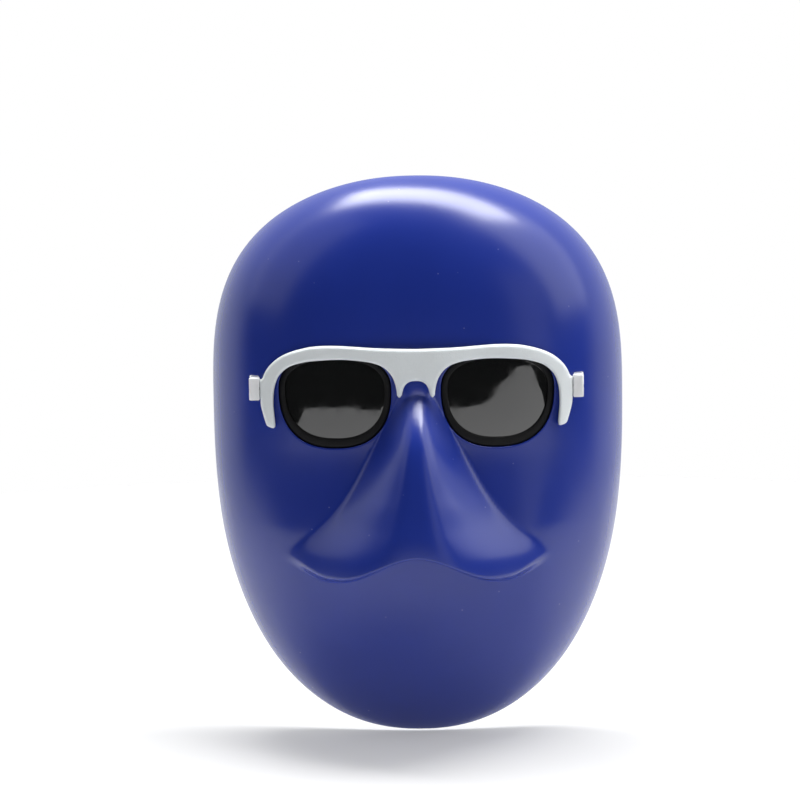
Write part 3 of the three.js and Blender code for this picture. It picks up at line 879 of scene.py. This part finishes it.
def build_brow_frame(thickness, edge):
    return plate(
        "brow_frame_moulding",
        [frame_outline()],
        lambda p, q: frame_back(p) - thickness,
        lambda p, q: frame_back(p),
        (edge, 0.5),
        1.2,
        to_front,
        60,
    )


def to_side(side, outer):
    """The plane of a temple, drawn in Y and Z: heights run inwards from its outer face."""
    return lambda p, q, height: np.stack((side * (outer - height), p, q), 1)


def to_above(p, q, height):
    """The plane of the end pieces, seen from above: heights run up along Z."""
    return np.stack((p, q, height), 1)


def flat(value):
    return lambda p, q: np.full_like(p, value)


def side_plate(name, side, loops, outer, inner, radii, spacing, smooth_angle=50.0):
    """A plate in the plane of a temple, between its outer and inner faces."""
    faces = flat(0.0), flat(outer - inner)
    return plate(name, loops, *faces, radii, spacing, to_side(side, outer), smooth_angle)


def disc(p, q, radius, count=28):
    turn = np.linspace(0, 2 * math.pi, count, endpoint=False)
    return np.stack((p + radius * np.cos(turn), q + radius * np.sin(turn)), 1)


SCREW = {"start": 69.5, "y": 8.9, "z": -1.9, "radius": 0.7, "hole": 1.0, "head": 1.3, "sunk": 1.2}
RIVET_ZS = (-4.4, 0.4)
RIVET_HOLE, RIVET_REACH = 0.8, 2.6
FRONT_RIVET_Y, REAR_RIVET_Y = 27.6, 37.4
HINGE_X, HINGE_Y = BAR_IN - 2.2, 32.15
HINGE_RADIUS, PIN_RADIUS, LEAF, HINGE_CLEAR = 1.8, 0.75, 0.9, 2.15
KNUCKLES = ((-6.4, -3.7), (-3.35, -0.65), (-0.3, 2.4))
GAP = 0.3
LEAF_IN, LEAF_OUT = BAR_IN - GAP - LEAF, BAR_IN - GAP
LEAF_FRONT_Y, LEAF_BACK_Y = 24.6, 40.4


def rivet_hole(name, y, z):
    start, end = BAR_IN - 1.7, BAR_IN + RIVET_REACH + GAP
    return lathe(name, [(start, 0), (start, RIVET_HOLE), (end, RIVET_HOLE), (end, 0)], (0, y, z), 0, 20)


def build_end_piece(name, side):
    """The lug that carries the hinge through the shell, with a sunk hole for its screw.

    It is drawn from above: broad in front of the shell and thin where it passes the slit.
    """
    back = HINGE_Y - GAP / 2
    corners = [
        (LUG_IN, LUG_FRONT), (BAR_OUT, LUG_FRONT), (BAR_OUT, back), (BAR_IN, back), (BAR_IN, LUG_STEP),
        (LUG_IN, LUG_STEP - 0.6),
    ]
    loop = rounded(corners, (0.3, 0.7, 0.4, 0.4, 0.3, 0.2), 0.8)
    lug = plate(name, [loop], flat(BAR_BOTTOM), flat(BAR_TOP), (0.5, 0.5), 1.2, to_above, 50)
    start, sink, end = LUG_IN - 1.0, BAR_OUT - SCREW["sunk"], BAR_OUT + 1.0
    wide = SCREW["head"] + GAP
    hole = SCREW["hole"]
    profile = [(start, 0), (start, hole), (sink, hole), (sink, wide), (end, wide), (end, 0)]
    cutters = [lathe(name + "_sink", profile, (0, SCREW["y"], SCREW["z"]), 0, 28)]
    cutters += [rivet_hole(f"{name}_rivet_{i}", FRONT_RIVET_Y, z) for i, z in enumerate(RIVET_ZS)]
    return mirror_to(combine(lug, cutters, "DIFFERENCE", 40), side)


def mirror_to(obj, side):
    """Draw a piece for the wearer's left and turn it into its mirror image on the right."""
    if side < 0:
        for vertex in obj.data.vertices:
            vertex.co.x = -vertex.co.x
        finish_mesh(obj, 40)
    return obj


def build_lug_screw(name, side):
    """A pan-headed screw from the lug into the frame, with a slot across its head."""
    y, z, r, h = SCREW["y"], SCREW["z"], SCREW["radius"], SCREW["head"]
    seat = BAR_OUT - SCREW["sunk"] + GAP
    long = seat - SCREW["start"]
    profile = [
        (0, 0), (0, r - 0.2), (0.2, r), (long, r), (long, h - 0.05), (long + 0.05, h), (long + 0.55, h),
        (long + 0.72, h - 0.12), (long + 0.8, h - 0.4), (long + 0.8, 0),
    ]
    screw = lathe(name, profile, (SCREW["start"], y, z), 0, 28)
    slot = box_mesh(name + "_slot", (seat + 0.42, y - 2, z - 0.2), (seat + 2, y + 2, z + 0.2))
    return mirror_to(combine(screw, [slot], "DIFFERENCE"), side)


def box_mesh(name, low, high):
    """A plain block, used only to cut slots and notches."""
    corners = list(itertools.product(*zip(low, high)))
    faces = [(0, 1, 3, 2), (4, 6, 7, 5), (0, 4, 5, 1), (2, 3, 7, 6), (0, 2, 6, 4), (1, 5, 7, 3)]
    return finish_mesh(new_object(name, corners, faces), 30)


def knuckle(name, span):
    """A barrel bored for the hinge screw, with eased ends."""
    z0, z1 = span
    r, bore, ease, sides = HINGE_RADIUS, PIN_RADIUS + 0.15, 0.15, 40
    profile = [(z0, bore), (z0, r - ease), (z0 + ease, r), (z1 - ease, r), (z1, r - ease), (z1, bore)]
    rings = []
    for z, radius in profile:
        circle = disc(HINGE_X, HINGE_Y, radius, sides)
        rings.append(np.column_stack((circle, np.full(sides, z))))
    numbers = np.arange(len(profile) * sides).reshape(-1, sides)
    return finish_mesh(new_object(name, np.vstack(rings), strips(list(numbers), wrap=True)), 30)


def room(name, span):
    """The space that a knuckle needs to turn in, cut from the other leaf."""
    z0, z1 = span[0] - GAP / 2, span[1] + GAP / 2
    profile = [(z0, 0), (z0, HINGE_CLEAR), (z1, HINGE_CLEAR), (z1, 0)]
    return lathe(name, profile, (HINGE_X, HINGE_Y, 0), 2, 40)


def leaf_blank(name, y0, y1, rounding, rivet_y):
    """A leaf's flat stamping, a hair lower than its knuckles so that the two join cleanly."""
    z0, z1 = KNUCKLES[0][0] + 0.07, KNUCKLES[2][1] - 0.07
    loops = [rounded([(y0, z0), (y1, z0), (y1, z1), (y0, z1)], rounding, 0.4)]
    loops += [disc(rivet_y, z, RIVET_HOLE, 20)[::-1] for z in RIVET_ZS]
    return side_plate(name, 1, loops, LEAF_OUT, LEAF_IN, (0.12, 0.12), 0.8, 30)


def build_front_leaf(name, side):
    """The leaf on the end piece, which carries the two outer knuckles."""
    leaf = leaf_blank(name, LEAF_FRONT_Y, HINGE_Y, (0.9, 0, 0, 0.9), FRONT_RIVET_Y)
    leaf = combine(leaf, [room(name + "_room", KNUCKLES[1])], "DIFFERENCE")
    knuckles = [knuckle(name + "_low", KNUCKLES[0]), knuckle(name + "_top", KNUCKLES[2])]
    return mirror_to(combine(leaf, knuckles, "UNION", 30), side)


def build_rear_leaf(name, side):
    """The leaf on the temple, which carries the middle knuckle."""
    leaf = leaf_blank(name, HINGE_Y, LEAF_BACK_Y, (0, 0.9, 0.9, 0), REAR_RIVET_Y)
    rooms = [room(name + "_low", KNUCKLES[0]), room(name + "_top", KNUCKLES[2])]
    leaf = combine(leaf, rooms, "DIFFERENCE")
    return mirror_to(combine(leaf, [knuckle(name + "_middle", KNUCKLES[1])], "UNION", 30), side)


def build_hinge_screw(name, side):
    """The hinge's screw: a plain shank through the knuckles and a domed, slotted head on top."""
    low, seat, r = KNUCKLES[0][0], KNUCKLES[2][1] + 0.05, PIN_RADIUS
    profile = [
        (low - 0.2, 0), (low - 0.2, r - 0.2), (low, r), (seat, r), (seat, 1.45), (seat + 0.05, 1.5),
        (seat + 0.45, 1.5), (seat + 0.75, 1.3), (seat + 0.95, 0.8), (seat + 1.0, 0.4), (seat + 1.0, 0),
    ]
    screw = lathe(name, profile, (HINGE_X, HINGE_Y, 0), 2, 36)
    low_corner = (HINGE_X - 3, HINGE_Y - 0.2, seat + 0.5)
    slot = box_mesh(name + "_slot", low_corner, (HINGE_X + 3, HINGE_Y + 0.2, seat + 3))
    return mirror_to(combine(screw, [slot], "DIFFERENCE"), side)


def build_rivet(name, side, y, z):
    """A tubular rivet with a low domed head on the leaf."""
    face, end = LEAF_IN - 0.02, BAR_IN + RIVET_REACH
    dome = [(face - 0.55 * math.cos(turn), math.sin(turn)) for turn in np.linspace(0, math.pi / 2, 8)]
    profile = dome + [(face, 0.5), (end - 0.1, 0.5), (end, 0.4), (end, 0)]
    return mirror_to(lathe(name, profile, (0, y, z), 0, 24), side)


ARM = {"deep_to": 44.0, "flat_from": 60.0, "end": 118.0, "flat_z": -5.0, "top_end_z": 0.6}
WIRE_RADIUS, WIRE_Z, WIRE_FROM, WIRE_END_Z = 0.8, -2.2, 78.0, -24.0
SLEEVE_START, SLEEVE_RADIUS = 123.0, 2.5
HOOK = [(131, -4), (139.5, -11.5), (144.5, -24), (147, -37), (147.6, -44)]


def build_temple(name, side):
    """The temple: full height at the hinge, tapering back to where the ear hook's wire comes out."""
    front, end, low, high = HINGE_Y + GAP / 2, ARM["end"], ARM["flat_z"], ARM["top_end_z"]
    # The outline runs down the front, back along the underside, up the end and back along the top.
    corners = [(front, BAR_TOP), (front, BAR_BOTTOM), (front + 8, BAR_BOTTOM), (front + 8, BAR_TOP)]
    nose = rounded(corners, 0.4, 0.7)
    nose = nose[nose[:, 0] < front + 1]
    nose = nose[np.argsort(-nose[:, 1], kind="stable")]
    base = np.stack((np.linspace(front + 1.5, ARM["deep_to"] - 0.8, 12), np.full(12, BAR_BOTTOM)), 1)
    bend = [(ARM["deep_to"], BAR_BOTTOM), (50, -6.6), (55, -5.4), (ARM["flat_from"], low)]
    run = np.stack((np.linspace(ARM["flat_from"], end, 60)[1:-1], np.full(58, low)), 1)
    under = np.vstack((base, spline(bend, 0.8), run))
    corners = [(end - 6, low), (end, low), (end, high), (end - 6, high)]
    tail = rounded(corners, 1.2, 0.6)
    tail = tail[tail[:, 0] > end - 1.4]
    tail = tail[np.argsort(tail[:, 1], kind="stable")]
    top = spline([(end, high), (96, 0.9), (70, 1.9), (48, 2.9), (front + 5, BAR_TOP)], 1.2)[:-1]
    shoulder = np.stack((np.linspace(front + 5, front + 1.5, 5), np.full(5, BAR_TOP)), 1)
    joined = [part[part[:, 0] < end - 1.6] for part in (under, top)]
    loop = np.vstack((nose, joined[0], tail, joined[1], shoulder))
    if area(loop) < 0:
        loop = loop[::-1]
    arm = side_plate(name, 1, [loop], BAR_OUT, BAR_IN, (0.8, 0.5), 1.4, 60)
    wide = WIRE_RADIUS + 0.1
    profile = [(WIRE_FROM, 0), (WIRE_FROM, wide), (end + 12, wide), (end + 12, 0)]
    cutters = [lathe(name + "_bore", profile, (BAR_X, 0, WIRE_Z), 1, 24)]
    cutters += [rivet_hole(f"{name}_rivet_{i}", REAR_RIVET_Y, z) for i, z in enumerate(RIVET_ZS)]
    return mirror_to(combine(arm, cutters, "DIFFERENCE", 40), side)


def hook_path():
    """The wire's centre line in Y and Z: straight along the temple, then down behind the ear."""
    straight = [(y, WIRE_Z) for y in (WIRE_FROM, ARM["end"] - 8, ARM["end"], SLEEVE_START)]
    return spline(straight + HOOK, 0.9)


def tube(name, side, path, radii, sides):
    """A round bar along a path in the plane of a temple; radii gives its size at each point."""
    along = np.gradient(path, axis=0)
    along /= np.linalg.norm(along, axis=1)[:, None]
    up = np.stack((-along[:, 1], along[:, 0]), 1)
    turn = np.linspace(0, 2 * math.pi, sides, endpoint=False)
    verts, rings = [], []
    for point, normal, radius in zip(path, up, radii):
        ring = np.zeros((sides, 3))
        ring[:, 0] = BAR_X + radius * np.cos(turn)
        ring[:, 1:] = point + np.outer(radius * np.sin(turn), normal)
        rings.append(np.arange(len(verts) * sides, (len(verts) + 1) * sides))
        verts.append(ring)
    faces = strips(rings) + [tuple(rings[0]), tuple(rings[-1][::-1])]
    return mirror_to(finish_mesh(new_object(name, np.vstack(verts), faces), 40), side)


def arc_length(path):
    return np.concatenate(([0], np.cumsum(np.linalg.norm(np.diff(path, axis=0), axis=1))))


def build_core_wire(name, side):
    path = hook_path()
    path = path[path[:, 1] > WIRE_END_Z]
    return tube(name, side, path, np.full(len(path), WIRE_RADIUS), 20)


def build_sleeve(name, side):
    """A soft sleeve over the wire: a collar, a slim body and a rounded, slightly swollen tip."""
    path = hook_path()
    path = path[path[:, 0] >= SLEEVE_START - 0.01]
    length = arc_length(path)
    total = length[-1]
    ends = total - np.array([1.6, 1.0, 0.55, 0.25, 0.06, 0.0])
    stations = np.concatenate(([0, 0.1, 0.35, 0.8, 1.8, 2.1, 2.5], np.arange(3.2, total - 2, 0.9), ends))
    path = np.stack([np.interp(stations, length, path[:, i]) for i in (0, 1)], 1)
    body = mix(2.1, 2.45, smooth((stations - 8) / (total - 8)))
    radii = np.where(stations < 1.9, SLEEVE_RADIUS, body)
    start = np.sqrt(np.clip(1 - (1 - np.clip(stations / 0.5, 0, 1)) ** 2, 0, 1))
    radii = radii - 0.35 * (1 - start)
    tip = np.sqrt(np.clip(1 - np.clip((stations - (total - 2.2)) / 2.2, 0, 1) ** 2, 0.004, 1))
    outer = tube(name, 1, path, radii * tip, 32)
    wire = hook_path()
    wire = wire[(wire[:, 0] > SLEEVE_START - 3) & (wire[:, 1] > WIRE_END_Z - 1)]
    bore = tube(name + "_bore", 1, wire, np.full(len(wire), WIRE_RADIUS + 0.08), 20)
    return mirror_to(combine(outer, [bore], "DIFFERENCE", 50), side)


# ---- the user's sizes and colours ----
def length(name, description, value_mm, low_mm=0.0, high_mm=20.0):
    return FloatProperty(
        name=name,
        description=description,
        default=value_mm * MM,
        min=low_mm * MM,
        max=high_mm * MM,
        unit="LENGTH",
        subtype="DISTANCE",
        precision=5,
    )


def colour(name, description, code):
    return FloatVectorProperty(
        name=name, description=description, default=linear(code), size=4, min=0.0, max=1.0, subtype="COLOR"
    )


class MaskShellSettings(bpy.types.PropertyGroup):
    wall: length("Wall", "Thickness of the moulded shell", WALL, 1.0, 3.0)
    hole_edge: length("Hole rounding", "Rounding of the edges of the openings", 0.6, 0.2, 0.9)
    rim_edge: length("Rim rounding", "Rounding of the shell's outer edge", 0.7, 0.2, 0.9)
    plastic: colour("Plastic", "Colour of the blue PVC", "1a2e86")
    roughness: FloatProperty(
        name="Roughness", description="Roughness of the moulded skin", default=0.25, min=0.0, max=1.0
    )


class MaskSpectacleSettings(bpy.types.PropertyGroup):
    frame_thickness: length("Frame thickness", "Thickness of the brow frame", 4.1, 2.0, 5.0)
    frame_edge: length("Frame rounding", "Rounding of the brow frame's front edges", 1.4, 0.3, 1.9)
    frame_colour: colour("Brow frame", "Colour of the milky nylon", "e9eef0")
    temple_colour: colour("Temples", "Colour of the opaque nylon", "f2f3f5")
    sleeve_colour: colour("Ear sleeves", "Colour of the soft sleeves", "e4e6e8")
    rim_colour: colour("Lens rims", "Colour of the black rubber", "08080a")
    lens_colour: colour("Lenses", "Colour of the filter glass", "0b0c0c")
    steel_colour: colour("Steel", "Colour of the plated screws, hinges and rivets", "b9bcc0")


class MaskStageSettings(bpy.types.PropertyGroup):
    distance: FloatProperty(
        name="Camera distance", description="From the camera to the bridge of the nose", default=1.0,
        min=0.3, max=5.0, unit="LENGTH", subtype="DISTANCE",
    )
    height: FloatProperty(
        name="Camera height", description="Angle of the camera above the level", default=math.radians(6.0),
        min=0.0, max=math.radians(80.0), unit="ROTATION", subtype="ANGLE",
    )
    floor: colour("Floor", "Colour of the floor", "b4b4b4")


def material_of(name, make, *values):
    """A material of this name, made once and shared by the pieces that need it."""
    return bpy.data.materials.get(name) or make(*values)


def milky_nylon(colour_value):
    name = "moulded_nylon_milky"
    return material_of(name, moulded_nylon, name, colour_value, 0.36, 0.35, 0.9)


def white_nylon(colour_value):
    name = "moulded_nylon_white"
    return material_of(name, moulded_nylon, name, colour_value, 0.42, 0.12, 0.6)


def steel(context):
    return material_of("nickel_plated_steel", plated_steel, context.scene.mask_spectacles.steel_colour)


# ---- operators ----
class MASK_OT_shell(bpy.types.Operator):
    """Mould the blue shell with its nose, eye openings and temple slits."""

    bl_idname = "mask.shell"
    bl_label = "Shell"

    def execute(self, context):
        size = context.scene.mask_shell
        obj = build_shell(size.wall / MM, size.hole_edge / MM, size.rim_edge / MM)
        finish_piece(obj, "mask_shell", "mask", moulded_pvc(size.plastic, size.roughness))
        return {"FINISHED"}


class MASK_OT_brow_frame(bpy.types.Operator):
    """Mould the milky brow frame that holds the two lenses from above."""

    bl_idname = "mask.brow_frame"
    bl_label = "Brow frame"

    def execute(self, context):
        size = context.scene.mask_spectacles
        obj = build_brow_frame(size.frame_thickness / MM, size.frame_edge / MM)
        finish_piece(obj, "brow_frame", "mask", milky_nylon(size.frame_colour))
        return {"FINISHED"}


class MASK_OT_lenses(bpy.types.Operator):
    """Fit the black rubber rims and the filter lenses in the eye openings."""

    bl_idname = "mask.lenses"
    bl_label = "Rims and lenses"

    def execute(self, context):
        size = context.scene.mask_spectacles
        rubber = moulded_rubber(size.rim_colour)
        glass = filter_glass(size.lens_colour)
        for label, side in SIDES.items():
            rim = build_rim(f"{label}_rim_moulding", side)
            finish_piece(rim, f"{label}_lens_rim", "mask", rubber)
            lens = build_lens(f"{label}_filter_lens", side)
            finish_piece(lens, f"{label}_lens", "mask", glass)
        return {"FINISHED"}


class MASK_OT_end_pieces(bpy.types.Operator):
    """Make the white lugs at the ends of the frame and the screws that hold them."""

    bl_idname = "mask.end_pieces"
    bl_label = "End pieces"

    def execute(self, context):
        white = white_nylon(context.scene.mask_spectacles.temple_colour)
        for label, side in SIDES.items():
            lug = build_end_piece(f"{label}_end_lug", side)
            finish_piece(lug, f"{label}_end_piece", "mask", white)
            screw = build_lug_screw(f"{label}_lug_screw", side)
            finish_piece(screw, f"{label}_end_piece_screw", "mask", steel(context))
        return {"FINISHED"}


class MASK_OT_hinges(bpy.types.Operator):
    """Make the temple hinges: two stamped leaves, their screw and four rivets on each side."""

    bl_idname = "mask.hinges"
    bl_label = "Hinges"

    def execute(self, context):
        metal = steel(context)
        for label, side in SIDES.items():
            temple = f"{label}_temple"
            pieces = [
                (build_front_leaf(f"{label}_hinge_front", side), "hinge_front_leaf", "mask"),
                (build_rear_leaf(f"{label}_hinge_rear", side), "hinge_rear_leaf", temple),
                (build_hinge_screw(f"{label}_hinge_pin_screw", side), "hinge_screw", "mask"),
            ]
            for leaf, y, body in (("front", FRONT_RIVET_Y, "mask"), ("rear", REAR_RIVET_Y, temple)):
                for number, z in enumerate(RIVET_ZS, 1):
                    rivet = build_rivet(f"{label}_{leaf}_rivet_{number}", side, y, z)
                    pieces.append((rivet, f"{leaf}_leaf_rivet_{number}", body))
            for obj, node, body in pieces:
                finish_piece(obj, f"{label}_{node}", body, metal)
        return {"FINISHED"}


class MASK_OT_temples(bpy.types.Operator):
    """Make the folding temples with their core wires and soft ear sleeves."""

    bl_idname = "mask.temples"
    bl_label = "Temples"

    def execute(self, context):
        size = context.scene.mask_spectacles
        white = white_nylon(size.temple_colour)
        soft = moulded_nylon("moulded_soft_vinyl_white", size.sleeve_colour, 0.5, 0.15, 0.8)
        for label, side in SIDES.items():
            body = f"{label}_temple"
            arm = build_temple(f"{label}_temple_moulding", side)
            finish_piece(arm, f"{label}_temple_arm", body, white)
            wire = build_core_wire(f"{label}_core_wire", side)
            finish_piece(wire, f"{label}_temple_core_wire", body, steel(context))
            sleeve = build_sleeve(f"{label}_sleeve", side)
            finish_piece(sleeve, f"{label}_ear_sleeve", body, soft)
        return {"FINISHED"}


# ---- stage ----
# Softboxes: place, width, height and power.
SOFTBOXES = {
    "top_softbox": ((0.09, 0.18, 1.3), 1.36, 0.54, 35.0),
    "left_wall": ((-1.4, -0.3, 1.27), 1.7, 1.9, 7.6),
    "right_softbox": ((1.4, -0.22, 1.3), 1.6, 2.2, 21.5),
    "right_wall": ((1.25, -1.5, 0.45), 0.8, 1.3, 1.6),
}


def floor_outline():
    """A floor that runs out furthest in front, on the mask's left, and is narrow at the sides."""
    outline = []
    for turn in range(-180, 180, 4):  # degrees round from the front
        reach = 1.37 + 0.4 * smooth((turn - 8) / 22) * smooth((66 - turn) / 30)
        reach += 0.2 * smooth((abs(turn) - 125) / 35) - 0.7 * smooth((abs(turn) - 35) / 30)
        angle = math.radians(turn)
        outline.append((reach * math.sin(angle), -reach * math.cos(angle)))
    return outline


FLOOR_CLEARANCE = 0.001
LENS_MM, SENSOR_MM = 100.0, 36.0
AZIMUTH, ROLL = 0.7, -0.7  # degrees that the camera stands to the mask's left, and leans
SHIFT = (-0.02, -0.01875)  # where the bridge of the nose stands in the view


class MASK_OT_stage(bpy.types.Operator):
    """Set the mask over a pale floor, with soft lights and the camera."""

    bl_idname = "mask.stage"
    bl_label = "Stage"

    def execute(self, context):
        stage = context.scene.mask_stage
        level = CAD_BOX[0][2] - FLOOR_CLEARANCE
        mesh = bpy.data.meshes.new("studio_floor")
        outline = floor_outline()
        mesh.from_pydata([(x, y, level) for x, y in outline], [], [tuple(range(len(outline)))])
        floor = bpy.data.objects.new("studio_floor", mesh)
        context.scene.collection.objects.link(floor)
        mesh.materials.append(painted_floor(stage.floor))
        for name, (place, width, height, power) in SOFTBOXES.items():
            light = bpy.data.lights.new(name, "AREA")
            light.shape, light.size, light.size_y, light.energy = "RECTANGLE", width, height, power
            box = bpy.data.objects.new(name, light)
            box.location = place
            box.rotation_euler = (-Vector(place)).to_track_quat("-Z", "Y").to_euler()
            context.scene.collection.objects.link(box)
        context.scene.world = studio_world()
        lens = bpy.data.cameras.new("camera")
        lens.lens, lens.sensor_width = LENS_MM, SENSOR_MM
        lens.shift_x, lens.shift_y = SHIFT
        lens.clip_start = 0.01
        camera = bpy.data.objects.new("camera", lens)
        azimuth = math.radians(AZIMUTH)
        flat_distance = stage.distance * math.cos(stage.height)
        camera.location = (
            flat_distance * math.sin(azimuth),
            -flat_distance * math.cos(azimuth),
            stage.distance * math.sin(stage.height),
        )
        aim = (-camera.location).to_track_quat("-Z", "Y")
        roll = Quaternion((0, 0, 1), math.radians(ROLL))
        camera.rotation_euler = (aim @ roll).to_euler()
        context.scene.collection.objects.link(camera)
        context.scene.camera = camera
        context.scene.view_settings.view_transform = "Standard"
        return {"FINISHED"}


def painted_floor(value):
    """A floor painted with flat emulsion: matt, with the faint stipple of a roller."""
    material, tree, where = start_material("rolled_matt_paint")
    stipple = noise(tree, where, 6, 2.0)
    bump = relief(tree, stipple, 0.05, 0.2)
    return finish_material(
        material, tree,
        {"Base Color": tuple(value), "Roughness": 0.85, "Normal": bump,
         "Emission Color": (1.0, 1.0, 1.0, 1.0), "Emission Strength": 0.3},
    )


def studio_world():
    """A white studio behind and beside the mask, and a dark room in front of it."""
    world = bpy.data.worlds.new("studio")
    world.use_nodes = True
    tree = world.node_tree
    tree.nodes.clear()
    direction = add(tree, "ShaderNodeTexCoord", {}).outputs["Generated"]
    along = add(tree, "ShaderNodeSeparateXYZ", {"Vector": direction})
    light = remap(
        tree, along.outputs["Y"], -0.1, 0.4, 0.025, 0.9, interpolation_type="SMOOTHSTEP"
    )
    seen = add(tree, "ShaderNodeBackground", {"Color": (1.0, 1.0, 1.0, 1.0), "Strength": 1.0})
    cast = add(tree, "ShaderNodeBackground", {"Color": (0.95, 0.97, 1.0, 1.0), "Strength": light})
    ray = add(tree, "ShaderNodeLightPath", {})
    both = add(
        tree, "ShaderNodeMixShader",
        {0: ray.outputs["Is Camera Ray"], 1: cast.outputs[0], 2: seen.outputs[0]},
    )
    add(tree, "ShaderNodeOutputWorld", {"Surface": both.outputs[0]})
    return world


PIECES = (
    MASK_OT_shell,
    MASK_OT_brow_frame,
    MASK_OT_lenses,
    MASK_OT_end_pieces,
    MASK_OT_hinges,
    MASK_OT_temples,
    MASK_OT_stage,
)


class MASK_PT_panel(bpy.types.Panel):
    """Lists the sizes, colours and steps of the mask."""

    bl_label = "Welder's Mask"
    bl_idname = "MASK_PT_panel"
    bl_space_type = "VIEW_3D"
    bl_region_type = "UI"
    bl_category = "Mask"

    def draw(self, context):
        for group in (context.scene.mask_shell, context.scene.mask_spectacles, context.scene.mask_stage):
            box = self.layout.box()
            for name in group.bl_rna.properties.keys():
                if name not in {"rna_type", "name"}:
                    box.prop(group, name)
        for step in PIECES:
            self.layout.operator(step.bl_idname)


SETTINGS = {
    "mask_shell": MaskShellSettings,
    "mask_spectacles": MaskSpectacleSettings,
    "mask_stage": MaskStageSettings,
}
CLASSES = (*SETTINGS.values(), *PIECES, MASK_PT_panel)


def register():
    for cls in CLASSES:
        bpy.utils.register_class(cls)
    for name, cls in SETTINGS.items():
        setattr(bpy.types.Scene, name, PointerProperty(type=cls))


def unregister():
    for name in SETTINGS:
        delattr(bpy.types.Scene, name)
    for cls in reversed(CLASSES):
        bpy.utils.unregister_class(cls)


def main():
    register()
    for step in PIECES:
        group, name = step.bl_idname.split(".")
        getattr(getattr(bpy.ops, group), name)()


if __name__ == "__main__":
    main()
